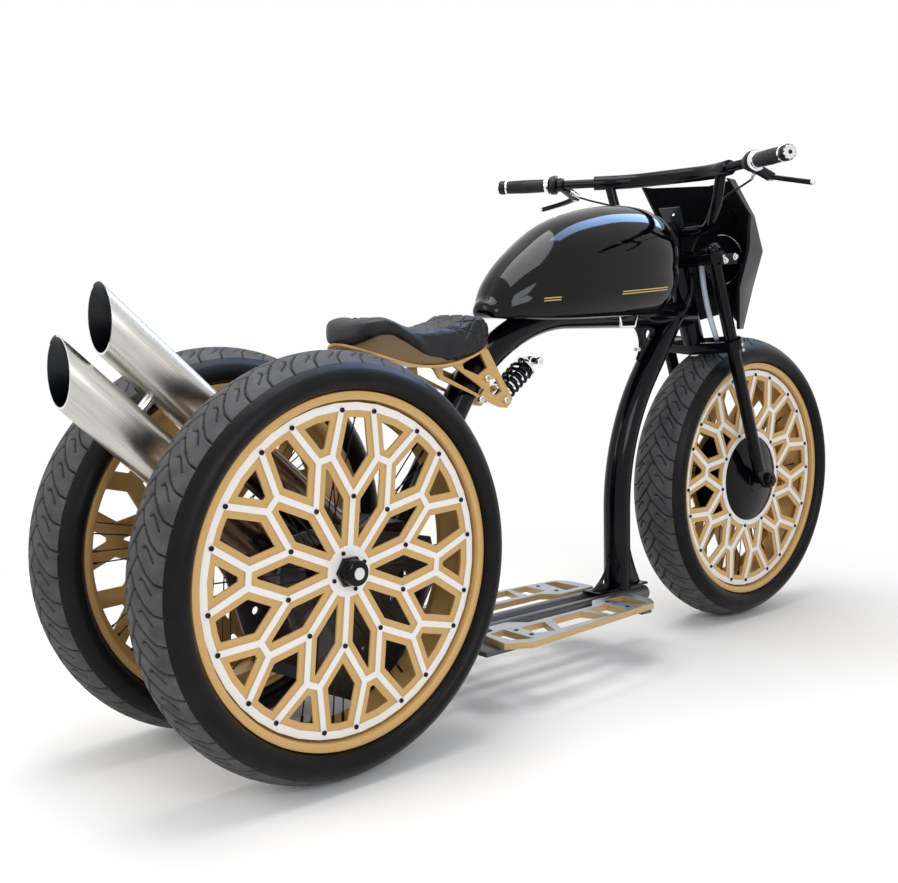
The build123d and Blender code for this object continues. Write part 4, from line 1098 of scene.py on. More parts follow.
def sew(piece):
    """Pulls in a cushion's diamond stitching and its two welts, and raises the bolster between them."""
    places = vertex_places(piece)
    normals = np.array([vertex.normal[:] for vertex in piece.data.vertices])
    x = places[:, 0] / mm + drawing_origin
    y = places[:, 1] / mm
    z = places[:, 2] / mm
    # On the sides the pattern goes on downwards, as if the quilting were wrapped over the edge
    drop = np.clip(top_line(x, z) - z, 0, wrap_limit)
    flat = np.maximum(np.hypot(normals[:, 0], normals[:, 1]), 0.001)
    quilt_x = x + drop * np.clip(normals[:, 0] / flat, 0, 1) * (flat > 0.5)
    quilt_y = y + drop * normals[:, 1] / flat * (flat > 0.5)
    seam = seam_gap(x, y)
    facing = np.clip(normals[:, 2] * facing_gain + facing_floor, 0, 1)
    nose_facing = np.clip(normals[:, 2] * facing_gain + nose_facing_floor, 0, 1)
    sides = np.where(x > nose_starts, nose_facing, facing)
    sewn = np.clip((seam - stitch_start) / stitch_run, 0, 1)
    push = (quilt_rise - quilt_depth * quilt(quilt_x, quilt_y)) * sewn * sides
    for place, width, depth in ((welt_place, welt_width, welt_depth), (second_place, second_width, second_depth)):
        push -= depth * np.exp(-((seam - place) / width) ** 2) * (x < welt_ends) * facing
    push += bolster_rise * np.sin(np.clip(-seam / bolster_width, 0, 1) * pi) * facing * (seam < 0)
    set_places(piece, places + normals * (push * mm)[:, None])


def make_cushion():
    """The seat's padding: swollen, thinned under its rolled edge, then sewn into diamonds and welts."""
    piece = loose_copy("seat")
    edit(piece)
    bpy.ops.mesh.remove_doubles(threshold=merge_distance)
    bpy.ops.transform.resize(value=(1.0, 0.99, 1.0))
    leave_edit()
    settle(piece)
    piece.data.remesh_voxel_size = cushion_voxel
    only(piece)
    bpy.ops.object.voxel_remesh()
    apply_modifier(piece, "SMOOTH", factor=0.7, iterations=26)
    shaped = swell(piece)
    x, z = shaped[:, 0] / mm + drawing_origin, shaped[:, 2] / mm
    tops = top_line(x, z)
    shaped[:, 2] = (tops - (tops - z) * np.interp(x, roll_places, roll_shares)) * mm
    set_places(piece, shaped)
    apply_modifier(piece, "SMOOTH", factor=0.6, iterations=6)
    apply_modifier(piece, "SUBSURF", levels=2, render_levels=2)
    sew(piece)
    bpy.context.view_layer.update()
    smooth(piece, 80)
    return piece


def make_pan_wall():
    """The painted pan's raised wall, which shows under the cushion's rolled edge."""
    piece = loose_copy("seat")
    merge_doubles(piece)
    low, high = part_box("seat")
    middle = (low + high) / 2
    long, wide = wall_narrowing
    for vertex in piece.data.vertices:
        out = vertex.co - middle
        vertex.co = middle + Vector((out.x * long, out.y * wide, out.z))
        vertex.co.z -= wall_drop * min(1.0, max(0.0, (vertex.co.z - low.z) / wall_full_drop))
    apply_modifier(piece, "REMESH", mode="VOXEL", voxel_size=wall_voxel)
    apply_modifier(piece, "SMOOTH", factor=0.6, iterations=8)
    smooth(piece, 50)
    return piece


# Both start from the seat's solid, which is hidden once the cushion stands for it
pan_wall = make_pan_wall()
cushion = make_cushion()
# The pan wall takes the darker gold, which is painted shade under the cushion's rolled edge
hand_over(pan_wall, "seat_pan_wall", pan_gold_painted_shade, "gold", "frame")
hand_over(cushion, "seat_cushion", leather, "leather", "frame", "seat")

# ------------------------------------------------------------------ exhausts
pipe_turn = radians(42.0)
pipe_mouths = {"exhaust_lower": (-390.0, 710.0), "exhaust_upper": (-318.0, 794.0)}
pipe_bore = 43.0
heat_reach = 0.62
heat_wander = 0.12
wander_scale = 11.0
pipe_scratch_scale = 520.0
streak_share = 0.55
streak_dark = (0.62, 0.62, 0.62, 1)
streak_range = (0.35, 0.62)
# Heat colours from the mouth inwards: (share of the reach, colour)
heat_colours = (
    (0.0, (0.62, 0.61, 0.58)), (0.38, (0.60, 0.57, 0.52)), (0.46, (0.54, 0.43, 0.31)), (0.56, (0.30, 0.20, 0.13)),
    (0.72, (0.16, 0.11, 0.08)), (1.0, (0.22, 0.20, 0.2)),
)


def pipe_steel(name, mouth):
    """Brushed stainless along a pipe, with straw, bronze and smoky heat colours away from its mouth."""
    finish = new_finish(name, (0.6, 0.58, 0.55), 1.0, 0.26)
    x, z = mouth
    centre = at(x, 0, z)
    source = node(finish, "ShaderNodeTexCoord")
    turn = node(finish, "ShaderNodeMapping", vector_type="TEXTURE", Location=centre, Rotation=(0, pipe_turn, 0))
    link(finish, source.outputs["Object"], turn.inputs["Vector"])
    parts = node(finish, "ShaderNodeSeparateXYZ")
    link(finish, turn.outputs["Vector"], parts.inputs["Vector"])
    heat = ranged(finish, parts.outputs["X"], 0, 1, 0, heat_reach)
    wander = node(finish, "ShaderNodeTexNoise", Scale=wander_scale, Detail=3.0)
    link(finish, turn.outputs["Vector"], wander.inputs["Vector"])
    shift = node(finish, "ShaderNodeMath", operation="MULTIPLY_ADD")
    shift.inputs[1].default_value = heat_wander
    link(finish, wander.outputs["Fac"], shift.inputs[0])
    link(finish, heat, shift.inputs[2])
    colours = node(finish, "ShaderNodeValToRGB")
    ramp = colours.color_ramp
    for k, (place, shade) in enumerate(heat_colours):
        stop = ramp.elements[k] if k < 2 else ramp.elements.new(place)
        stop.position = place
        stop.color = (*shade, 1)
    link(finish, shift.outputs["Value"], colours.inputs["Fac"])
    scratch_map = node(finish, "ShaderNodeMapping", Scale=(0.02, 1, 1))
    link(finish, turn.outputs["Vector"], scratch_map.inputs["Vector"])
    scratch = node(finish, "ShaderNodeTexNoise", Scale=pipe_scratch_scale, Detail=3.0)
    link(finish, scratch_map.outputs["Vector"], scratch.inputs["Vector"])
    streak = node(finish, "ShaderNodeMix", data_type="RGBA", blend_type="MULTIPLY", Factor=streak_share)
    tone = node(finish, "ShaderNodeValToRGB")
    tone.color_ramp.elements[0].position = streak_range[0]
    tone.color_ramp.elements[0].color = streak_dark
    tone.color_ramp.elements[1].position = streak_range[1]
    link(finish, scratch.outputs["Fac"], tone.inputs["Fac"])
    link(finish, colours.outputs["Color"], streak.inputs["A"])
    link(finish, tone.outputs["Color"], streak.inputs["B"])
    link(finish, streak.outputs["Result"], shader_of(finish).inputs["Base Color"])
    link(finish, ranged(finish, wander.outputs["Fac"], 0.2, 0.34), shader_of(finish).inputs["Roughness"])
    bump(finish, scratch.outputs["Fac"], 0.1, 0.0002)
    return finish


for cad_node, mouth in pipe_mouths.items():
    steel = pipe_steel(f"{cad_node}_steel", mouth)
    pipe = dress(cad_node, steel, angle=40, edge=0.0004, name=f"{cad_node}_pipe")
    pipe.data.materials.append(liner)
    pipe.data.materials.append(chrome)
    x, z = mouth
    along = Vector((-cos(pipe_turn), 0, sin(pipe_turn)))
    start = at(x, 0, z)
    for face in pipe.data.polygons:
        out = face.center - start
        out -= along * out.dot(along)
        reach = out.length / mm
        inward = face.normal.dot(out.normalized()) < -0.2
        if reach < pipe_bore and inward:
            face.material_index = 1
        elif abs(face.normal.x) > 0.93 and face.center.x < start.x + 0.06:
            face.material_index = 2
dress("exhaust_bracket", chrome, angle=30, edge=0.0006)

# ------------------------------------------------------------------ painted frame and mounts
# Nodes, finish, the angle between faces that stay crisp and how far the edges are eased
dressings = (
    (("backbone", "down_tube", "head_tube", "gussets"), paint_black, 30, 0.0006),
    (("floor_rails", "rear_carrier", "board_mounts"), frame_grey, 30, 0.0008),
    (("seat_pan", "seat_brackets"), paint_gold, 25, 0.0006),
    (("fork_legs", "upper_clamp", "lower_clamp", "fairing_stays"), paint_black, 30, 0.0012),
    (("steering_stem",), zinc, 30, 0.001),
    (("handlebar",), paint_black, 30, 0.0008),
    (("fairing",), paint_grey, 14, 0.0012),
    (("shock",), chrome, 35, 0.0006),
    (("shock_spring",), paint_black, 60, 0.0),
    (("lock_loop",), chrome, 50, 0.0004),
    (("stub_axles",), zinc, 30, 0.0008),
    (("engine",), cast_case, 30, 0.003),
)
for cad_nodes, finish, crisp_angle, eased in dressings:
    for cad_node in cad_nodes:
        dress(cad_node, finish, crisp_angle, eased)

# ------------------------------------------------------------------ handlebar fittings
rake = radians(22.0)
bar_height = 1130.0
bar_half_width = 416.0
grip_length = 125.0
bar_x = 1160.0
bar_turn = radians(27.0)
bar_straight_from = 120.0
upper_clamp_height = 930.0
lower_clamp_height = 718.0
clamp_x = 1190.2
to_front = (1, 0, 0)
upward = (0, 0, 1)


def stem_x(z):
    """The steering axis at a height, seen from the side."""
    return clamp_x - (z - upper_clamp_height) * tan(rake)


def bar_spot(y):
    """A point of the handlebar's line at a distance to the side."""
    return at(bar_x - max(0.0, abs(y) - bar_straight_from) * tan(bar_turn), y, bar_height)


def turned_piece(points, place, direction, steps=64, closed=True, angle=30):
    """A turned piece standing at a place along a direction, from (radius, along) points."""
    piece = spun(points, origin, steps=steps, closed=closed)
    stand(piece, place, direction, "Y", "Z")
    smooth(piece, angle)
    return piece


def skin(rings):
    """One closed skin through rings of points, each end drawn in to its middle."""
    ends = []
    for ring in (rings[0], rings[-1]):
        middle = sum(ring, origin) / len(ring)
        ends.append([middle] * len(ring))
    piece = sheet_of([ends[0]] + list(rings) + [ends[1]])
    merge_doubles(piece, outward=True)
    return piece


def flat_bar(path, widths, thickness, up=upward, corners=4, steps=16):
    """A flat bar with rounded edges along a path; widths are its half widths, in metres."""
    rings = []
    for k, place in enumerate(path):
        ahead = (path[min(k + 1, len(path) - 1)] - path[max(k - 1, 0)]).normalized()
        side = ahead.cross(Vector(up)).normalized()
        top = side.cross(ahead)
        ring = []
        for step in range(steps):
            turn = 2 * pi * (step + 0.5) / steps
            reach_side = abs(cos(turn)) ** (2 / corners) * (1 if cos(turn) > 0 else -1)
            reach_up = abs(sin(turn)) ** (2 / corners) * (1 if sin(turn) > 0 else -1)
            ring.append(place + side * widths[k] * reach_side + top * thickness / 2 * reach_up)
        rings.append(ring)
    piece = skin(rings)
    smooth(piece, 50)
    return piece


# The band of slanting grooves near a grip's outer end
band_start = 60.0
band_end = 104.0
band_middle = 82.0
band_turns = 3  # The pattern's repeats round the grip
band_gap = 0.36  # The pattern's half width, as a share of one repeat
groove_lead = 34.0
groove_spacing = 4.6
groove_reach = 3.5
groove_share = 0.32
rubber_depth = 1.1
rubber_surface = 15.0


def press_grooves(piece, start, direction):
    """Presses slanting grooves into a grip's rubber, in a band near its outer end."""
    direction = Vector(direction)
    up = Vector(upward)
    side = direction.cross(up).normalized()
    for vertex in piece.data.vertices:
        out = vertex.co - start
        along = out.dot(direction) / mm
        flat = out - direction * out.dot(direction)
        if flat.length / mm < rubber_surface or not band_start < along < band_end:
            continue
        turn = atan2(flat.dot(side), flat.dot(up)) / (2 * pi) * band_turns % 1 - 0.5
        slant = (along - band_middle - turn * groove_lead) / groove_spacing
        if abs(slant) < groove_reach and abs(turn) < band_gap:
            pull = max(0.0, 1 - abs((slant + 0.5) % 1 - 0.5) / groove_share)
            vertex.co -= flat.normalized() * min(1.0, pull * 1.6) * rubber_depth * mm


plate_radius = 0.0158
plate_teeth = 10
plate_thickness = 0.0026
steps_per_tooth = 12
tooth_depth = 0.17
tooth_power = 0.8
plate_edge_width = 0.0006
plate_edge_height = 0.0005


def scalloped_plate(place, direction):
    """A bar end's alloy plate with scallops round its edge."""
    bpy.ops.object.select_all(action="DESELECT")
    steps = plate_teeth * steps_per_tooth
    bpy.ops.mesh.primitive_circle_add(vertices=steps, radius=plate_radius, fill_type="NGON")
    piece = bpy.context.object
    for k, vertex in enumerate(piece.data.vertices):
        turn = 2 * pi * k / steps
        scallop = max(0.0, cos(turn * plate_teeth)) ** tooth_power
        reach = plate_radius * (1 - tooth_depth * scallop)
        vertex.co = Vector((reach * cos(turn), reach * sin(turn), 0))
    edit(piece, "FACE")
    bpy.ops.mesh.extrude_region_move(TRANSFORM_OT_translate={"value": (0, 0, plate_thickness)})
    leave_edit()
    for face in piece.data.polygons:
        face.select = face.normal.z > 0.9
    reopen(piece)
    bpy.ops.mesh.inset(thickness=plate_edge_width, depth=plate_edge_height)
    leave_edit()
    edit(piece)
    bpy.ops.mesh.normals_make_consistent(inside=False)
    leave_edit()
    stand(piece, place, direction)
    smooth(piece, 30)
    return piece


# Outlines are (radius, distance outward from the grip's inner end) points, in millimetres
sleeve_waves = 70
sleeve_length = 99.4
sleeve_swell = 0.9
grip_sleeve_outline = [(11.3, 12.5), (15.6, 12.5)]
for wave in range(sleeve_waves + 1):
    end_relief = 0.3 if wave % sleeve_waves == 0 else 0
    grip_sleeve_outline.append((16.0 + sleeve_swell * sin(pi * wave / sleeve_waves) - end_relief,
                                12.6 + sleeve_length * wave / sleeve_waves))
grip_sleeve_outline += [(15.4, 112.2), (11.3, 112.2)]
grip_flange_outline = (
    (11.2, 0.0), (20.0, 0.0), (22.0, 0.8), (22.6, 2.2), (22.4, 5.0), (20.6, 6.4), (18.6, 7.4), (17.9, 9.0),
    (17.9, 12.2), (17.0, 13.0), (11.2, 13.0),
)
grip_end_ring_outline = ((11.2, 112.0), (17.4, 112.0), (18.0, 112.8), (18.0, 116.6), (17.4, 117.4), (11.2, 117.4))
bar_end_plug_outline = (
    (0.0, 117.0), (16.4, 117.0), (17.0, 118.0), (17.4, 121.0), (17.4, 131.0), (16.6, 134.0), (15.4, 135.2),
    (0.0, 135.2),
)
throttle_housing_outline = (
    (11.2, -19.0), (20.4, -19.0), (22.6, -17.4), (23.4, -14.0), (23.4, -6.0), (22.4, -3.6), (20.4, -2.4),
    (11.2, -2.4),
)
perch_clamp_outline = ((11.2, -36.0), (15.4, -36.0), (16.6, -34.8), (16.6, -22.6), (15.4, -21.4), (11.2, -21.4))
# Outlines below stand at places of their own
clamp_lug_outline = ((0.0, 0.0), (6.0, 0.0), (6.0, 4.6), (5.0, 5.6), (0.0, 5.6))
lever_boss_outline = ((0.0, -8.5), (8.0, -8.5), (9.0, -7.5), (9.0, 7.5), (8.0, 8.5), (0.0, 8.5))
lever_ball_outline = ((0.0, -6.6), (3.2, -6.0), (5.8, -3.4), (6.6, 0.0), (5.8, 3.4), (3.2, 6.0), (0.0, 6.6))
adjuster_outline = (
    (0.0, 0.0), (5.2, 0.0), (5.2, 6.0), (4.4, 6.4), (4.4, 9.0), (5.6, 9.4), (5.6, 15.0), (4.2, 15.6),
)
adjuster_sleeve_radius = 3.8
adjuster_nut_outline = ((0.0, 8.0), (7.0, 8.0), (7.0, 12.0), (0.0, 12.0))

plate_distance = 134.4
end_screw_distance = 136.6
# Each clamp lug: distance along the grip's line, lean in radians and how far out its foot stands
clamp_lugs = ((-10.5, 0.3, 18.5), (-29.0, -0.5, 12.0))
lug_height = 0.0054
perch_distance = -29.0
perch_foot = Vector((0.010, 0, -0.006))
perch_widths = (0.0120, 0.0120, 0.0115, 0.0110, 0.0112, 0.0110)
perch_thickness = 0.019
knuckle_offset = Vector((0.068, -0.017, -0.027))
pin_offset = Vector((0, 0, 0.0083))
adjuster_offset = Vector((0.024, -0.004, -0.014))
lever_gap = 18.0  # From the grip's inner end to the lever's clamp
blade_spots = (
    (0, 0, 0), (3, -14, -3), (4, -32, -7), (4, -53, -11), (0, -72, -15), (-5, -92, -19), (-10, -109, -22.5),
)
blade_widths = (0.0088, 0.0092, 0.0084, 0.0076, 0.0072, 0.0070, 0.0064)
blade_thickness = 0.0115

bar_out = Vector((-sin(bar_turn), -cos(bar_turn), 0))
grip_start = bar_spot(-bar_half_width) - bar_out * grip_length * mm
lever_root = bar_spot(-(bar_half_width - grip_length - lever_gap))
knuckle = lever_root + knuckle_offset


def on_grip(distance):
    """A point of the right grip's line, measured outward from its inner end."""
    return grip_start + bar_out * distance * mm


def grip_fittings():
    """The right grip's sleeve, its flange and rings and the bar's end."""
    sleeve = turned_piece(grip_sleeve_outline, grip_start, bar_out, steps=144, angle=60)
    press_grooves(sleeve, grip_start, bar_out)
    flange = turned_piece(grip_flange_outline, grip_start, bar_out)
    end_ring = turned_piece(grip_end_ring_outline, grip_start, bar_out)
    plug = turned_piece(bar_end_plug_outline, grip_start, bar_out, steps=64, closed=False)
    return [
        ("grip_sleeve", sleeve, grip_rubber, "grip_rubber"),
        ("grip_flange", flange, chrome, "chrome"),
        ("grip_end_ring", end_ring, chrome, "chrome"),
        ("bar_end_plug", plug, bolt_black, "gloss_black"),
        ("bar_end_plate", scalloped_plate(on_grip(plate_distance), bar_out), alloy_plain, "alloy"),
        ("bar_end_screw", bolt_head(on_grip(end_screw_distance), bar_out, "bar_end"), bolt_black, "gloss_black"),
    ]


def clamp_fittings():
    """The housing beside the grip and the lever's clamp, each with its lug and screw."""
    fittings = [
        ("throttle_housing", turned_piece(throttle_housing_outline, grip_start, bar_out), bolt_black, "gloss_black"),
        ("perch_clamp", turned_piece(perch_clamp_outline, grip_start, bar_out), bolt_black, "gloss_black"),
    ]
    for number, (distance, lean, foot_reach) in enumerate(clamp_lugs):
        outward = Vector((sin(lean) * 0.9, 0, cos(lean))).normalized()
        foot = on_grip(distance) + outward * foot_reach * mm
        lug = turned_piece(clamp_lug_outline, foot, outward, steps=32, closed=False)
        screw = bolt_head(foot + outward * lug_height, outward, "lug")
        fittings.append((f"clamp_lug_{number}", lug, bolt_black, "gloss_black"))
        fittings.append((f"clamp_screw_{number}", screw, chrome, "chrome"))
    return fittings


def lever_fittings():
    """The lever's perch, its pivot and its blade with a ball at the end."""
    perch_root = on_grip(perch_distance) + perch_foot
    last = len(perch_widths) - 1
    perch = flat_bar([perch_root.lerp(knuckle, k / last) for k in range(last + 1)], perch_widths, perch_thickness)
    boss = turned_piece(lever_boss_outline, knuckle, upward, steps=40, closed=False)
    pin = bolt_head(knuckle + pin_offset, upward, "lever_pin")
    path = [knuckle + Vector(spot) * mm for spot in blade_spots]
    blade = flat_bar(path, blade_widths, blade_thickness)
    ball = turned_piece(lever_ball_outline, path[-1], (path[-1] - path[-2]).normalized(), steps=40, closed=False,
                        angle=60)
    return [
        ("lever_perch", perch, bolt_black, "gloss_black"),
        ("lever_boss", boss, alloy_plain, "alloy"),
        ("lever_pin", pin, chrome, "chrome"),
        ("lever_blade", blade, paint_black, "gloss_black"),
        ("lever_ball", ball, alloy_plain, "alloy"),
    ]


def adjuster_fittings():
    """The adjuster that the lever's cable starts from, and its nut."""
    root = lever_root + adjuster_offset
    run = at(*lever_cable_route[0]) - root
    length = run.length / mm
    outline = adjuster_outline + ((adjuster_sleeve_radius, length), (0.0, length))
    barrel = turned_piece(outline, root, run.normalized(), steps=16, closed=False, angle=20)
    nut = turned_piece(adjuster_nut_outline, root, run.normalized(), steps=6, closed=False, angle=20)
    return [("cable_adjuster", barrel, alloy_plain, "alloy"), ("adjuster_nut", nut, chrome, "chrome")]


control_nodes = {
    "grip_sleeve": "grips", "grip_flange": "grips", "bar_end_plug": "grips",
    "lever_perch": "levers", "lever_blade": "levers", "perch_clamp": "levers", "cable_adjuster": "levers",
}
for name, piece, finish, slot in grip_fittings() + clamp_fittings() + lever_fittings() + adjuster_fittings():
    nodes = [control_nodes[name]] if name in control_nodes else []
    other = mirrored(piece)
    hand_over(piece, f"right_{name}", finish, slot, "steering", *nodes)
    hand_over(other, f"left_{name}", finish, slot, "steering", *nodes)

# ------------------------------------------------------------------ lamp and the plate behind it
lamp_centre = at(clamp_x + 180, 0, 938)
lamp_bowl_outline = (
    (0.0, -57.0), (12.0, -56.2), (24.0, -53.0), (36.0, -46.5), (46.0, -37.0), (54.0, -25.0), (59.4, -12.0),
    (62.4, 2.0), (63.4, 12.0), (61.0, 12.0), (58.0, -6.0), (0.0, -30.0),
)
lamp_rim_outline = (
    (56.5, 13.0), (60.0, 9.5), (64.0, 9.5), (65.4, 12.0), (65.0, 16.0), (62.0, 19.6), (57.5, 20.2), (56.0, 17.0),
)
lamp_glass_outline = (
    (0.0, 20.8), (14.0, 20.5), (30.0, 19.2), (45.0, 16.8), (57.2, 13.8), (57.2, 11.8), (45.0, 14.6), (30.0, 17.0),
    (0.0, 18.6),
)
reflector_outline = (
    (0.0, -22.0), (16.0, -19.5), (34.0, -10.0), (48.0, 2.0), (57.0, 11.6), (58.0, 11.0), (50.0, -1.0),
    (35.0, -13.0), (16.0, -22.0), (0.0, -24.0),
)
bowl = turned_piece(lamp_bowl_outline, lamp_centre, to_front, steps=96, closed=False, angle=60)
hand_over(bowl, "lamp_bowl", paint_black, "gloss_black", "steering", "lamp")
rim = turned_piece(lamp_rim_outline, lamp_centre, to_front, steps=96)
hand_over(rim, "lamp_rim", chrome, "chrome", "steering", "lamp")
glass = turned_piece(lamp_glass_outline, lamp_centre, to_front, steps=96, closed=False, angle=60)
hand_over(glass, "lamp_glass", lens_finish, "chrome", "steering")
reflector = turned_piece(reflector_outline, lamp_centre, to_front, steps=72, closed=False, angle=60)
hand_over(reflector, "lamp_reflector", chrome, "chrome", "steering")
stalk_root = at(clamp_x + 22.5, 0, upper_clamp_height + 14)
stalk_end = lamp_centre + Vector((-0.046, 0, 0))
stalk = bar(stalk_root, stalk_end, radius=0.0078, sides=24, end_radius=0.0092)
smooth(stalk, 40)
hand_over(stalk, "lamp_stalk", paint_black, "gloss_black", "steering", "lamp")

# The shield leans back and widens towards its top
shield_steps = 16
shield_foot_x = 1196.0
shield_foot_height = 985.0
shield_lean = 34.0
shield_length = 72.0
shield_half_width = 0.020
shield_widening = 0.012
shield_thickness = 0.003
shield_facing = (-1, 0, 0.3)
shield_screw_spot = (1170.5, -8, 1040)
shield_shares = [k / shield_steps for k in range(shield_steps + 1)]
shield_path = [at(shield_foot_x - shield_lean * share ** 1.5, 0, shield_foot_height + shield_length * share)
               for share in shield_shares]
shield_widths = [shield_half_width + shield_widening * share for share in shield_shares]
shield = flat_bar(shield_path, shield_widths, shield_thickness, up=shield_facing, corners=6, steps=24)
hand_over(shield, "stem_shield", paint_shield, "dark_grey", "steering")
shield_screw = bolt_head(at(*shield_screw_spot), (-0.92, 0, 0.30), "shield")
hand_over(shield_screw, "stem_shield_screw", chrome, "chrome", "steering")


# ------------------------------------------------------------------ fasteners
def side_bolts(spots, out, kind):
    """Cap screws on both sides of the trike, at (x, z) spots of its side view."""
    heads = []
    for x, z in spots:
        for side in side_names:
            heads.append(bolt_head(at(x, side * out, z), (0, side, 0), kind))
    return heads


# Distances from the middle plane to the faces that the screws stand on
pinch_face = 122.4
stay_face = 122.8
washer_face = 122.6
bracket_face = 41.8
shock_face = 26.6
gusset_face = 3.9

pinch_x = {upper_clamp_height: 1211.8, lower_clamp_height: 1297.4}
pinch_drop = 6.5
pinch_spots = []
for z, x in pinch_x.items():
    for drop in (-pinch_drop, pinch_drop):
        pinch_spots.append((x + 4 - drop * tan(rake), z + drop))
pinch_bolts = side_bolts(pinch_spots, pinch_face, "pinch")
hand_over(join(pinch_bolts), "clamp_pinch_bolts", zinc, "stainless", "steering")

stay_spots = ((1222.0, 927.0), (1262.0, 937.5))
washer_outline = ((0.0, 0.0), (8.2, 0.0), (8.2, 1.4), (0.0, 1.4))
stay_bolts = side_bolts(stay_spots, stay_face, "stay")
for x, z in stay_spots:
    for side in side_names:
        washer_place = at(x, side * washer_face, z)
        stay_bolts.append(turned_piece(washer_outline, washer_place, (0, side, 0), steps=32, closed=False))
hand_over(join(stay_bolts), "stay_bolts", chrome, "chrome", "steering")

stem_nut_outline = ((0.0, 0.0), (15.0, 0.0), (15.0, 9.0), (13.5, 11.0), (8.0, 13.0), (0.0, 13.4))
stem_nut_height = 708.0
stem_nut = turned_piece(stem_nut_outline, at(stem_x(stem_nut_height), 0, stem_nut_height),
                        (sin(rake), 0, -cos(rake)), steps=6, closed=False, angle=20)
hand_over(stem_nut, "stem_lower_nut", zinc, "stainless", "steering")

axle_outline = (
    (0.0, -120.0), (9.0, -119.6), (12.0, -117.0), (12.45, -113.0), (12.45, 113.0), (12.0, 117.0), (9.0, 119.6),
    (0.0, 120.0),
)
axle_nut_outline = ((12.6, 105.2), (19.0, 105.2), (19.0, 113.0), (17.0, 115.0), (12.6, 115.0))
front_bar = turned_piece(axle_outline, front_centre, (0, 1, 0), steps=48, closed=False)
hand_over(front_bar, "front_axle_bar", paint_black, "stainless", "steering", "front_axle")
for side, mark in side_names.items():
    nut = turned_piece(axle_nut_outline, front_centre, (0, side, 0), steps=6, angle=20)
    hand_over(nut, f"front_axle_nut_{mark}", bolt_black, "gloss_black", "steering")

# ------------------------------------------------------------------ footboards
board_front = 950.14
board_top = 145.8
board_screw_spots = ((424.0, 106.0), (424.0, 150.0), (101.0, 78.0), (101.0, 138.0))  # Behind the front, to the side
for side, mark in side_names.items():
    board = dress(f"footboard_{mark}", alloy_board, angle=25, edge=0.0006)
    board.data.materials.append(board_edge)
    for face in board.data.polygons:
        face.material_index = 0 if abs(face.normal.z) > 0.6 else 1
    board_screws = []
    for behind, out in board_screw_spots:
        spot = at(board_front - behind, side * out, board_top)
        board_screws.append(bolt_head(spot, upward, "board"))
    hand_over(join(board_screws), f"board_screws_{mark}", bolt_black, "gloss_black", "frame")

# ------------------------------------------------------------------ seat, shock and frame fasteners
bracket_bolts = side_bolts(((503.0, 669.0), (558.0, 620.8), (486.0, 626.0)), bracket_face, "bracket")
hand_over(join(bracket_bolts), "seat_bracket_bolts", zinc, "stainless", "frame")
shock_bolts = side_bolts(((674.0, 698.0),), shock_face, "shock")
hand_over(join(shock_bolts), "shock_bolts", chrome, "chrome", "frame")
head_screws = side_bolts(((1046.0, 716.0), (1074.0, 668.0)), gusset_face, "gusset")
hand_over(join(head_screws), "gusset_bolts", zinc, "stainless", "frame")

# ------------------------------------------------------------------ engine details, in metres
engine_low, engine_high = (Vector(corner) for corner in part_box("engine"))
engine_middle = (engine_low + engine_high) / 2
fin_count = 7
fin_size = (0.150, 0.012, 0.004)
fin_edge = 0.0012
fin_out = 0.088
fin_pitch = 0.011
top_fin_drop = 0.012
cover_outline = (
    (0.0, 0.0), (70.0, 0.0), (70.0, 3.0), (66.0, 6.0), (56.0, 8.0), (52.0, 7.0), (20.0, 8.0), (0.0, 8.4),
)
cover_x = engine_middle.x + 0.005
cover_z = engine_low.z + 0.095
cover_sink = 0.0004
cover_screw_rise = 0.005
cover_screw_circle = 0.062
cover_screws_each = 6
first_cover_screw = 20

fins = []
for k in range(fin_count):
    for side in side_names:
        bpy.ops.object.select_all(action="DESELECT")
        place = (engine_middle.x, side * fin_out, engine_high.z - top_fin_drop - k * fin_pitch)
        bpy.ops.mesh.primitive_cube_add(size=1, location=place, scale=fin_size)
        fin = bpy.context.object
        settle(fin)
        apply_modifier(fin, "BEVEL", width=fin_edge, segments=2)
        fins.append(fin)
fins = join(fins)
smooth(fins, 40)
hand_over(fins, "engine_fins", cast_case, "engine_case", "frame")
for side, mark in side_names.items():
    cover_place = Vector((cover_x, side * (engine_high.y - cover_sink), cover_z))
    cover = turned_piece(cover_outline, cover_place, (0, side, 0), steps=72, closed=False)
    hand_over(cover, f"engine_cover_{mark}", bolt_black, "gloss_black", "frame")
    cover_screws = []
    for k in range(cover_screws_each):
        turn = radians(first_cover_screw + 360 / cover_screws_each * k)
        spot = Vector((cover_x + cover_screw_circle * cos(turn), side * (engine_high.y + cover_screw_rise),
                       cover_z + cover_screw_circle * sin(turn)))
        cover_screws.append(bolt_head(spot, (0, side, 0), "cover"))
    hand_over(join(cover_screws), f"engine_cover_screws_{mark}", zinc, "stainless", "frame")

# ------------------------------------------------------------------ studio
sky_blue = (0.40, 0.60, 1.0, 1)
plain_white = (1, 1, 1, 1)
floor_white = (0.98, 0.98, 0.98, 1)
surround_light = 0.55
floor_size = 16
fade_start = 0.7
fade_end = 1.9


def add_area_light(name, place, target, width, depth, power, colour=(1, 1, 1)):
    """A soft box aimed at a point."""
    data = bpy.data.lights.new(name, "AREA")
    data.shape = "RECTANGLE"
    data.size = width
    data.size_y = depth
    data.energy = power
    data.color = colour
    lamp = bpy.data.objects.new(name, data)
    lamp.location = place
    lamp.rotation_euler = (Vector(target) - Vector(place)).to_track_quat("-Z", "Y").to_euler()
    bpy.context.scene.collection.objects.link(lamp)


def bare_finish(name):
    """A finish whose standard shader is taken out, for stage pieces."""
    finish = bpy.data.materials.new(name)
    finish.use_nodes = True
    finish.node_tree.nodes.remove(shader_of(finish))
    return finish


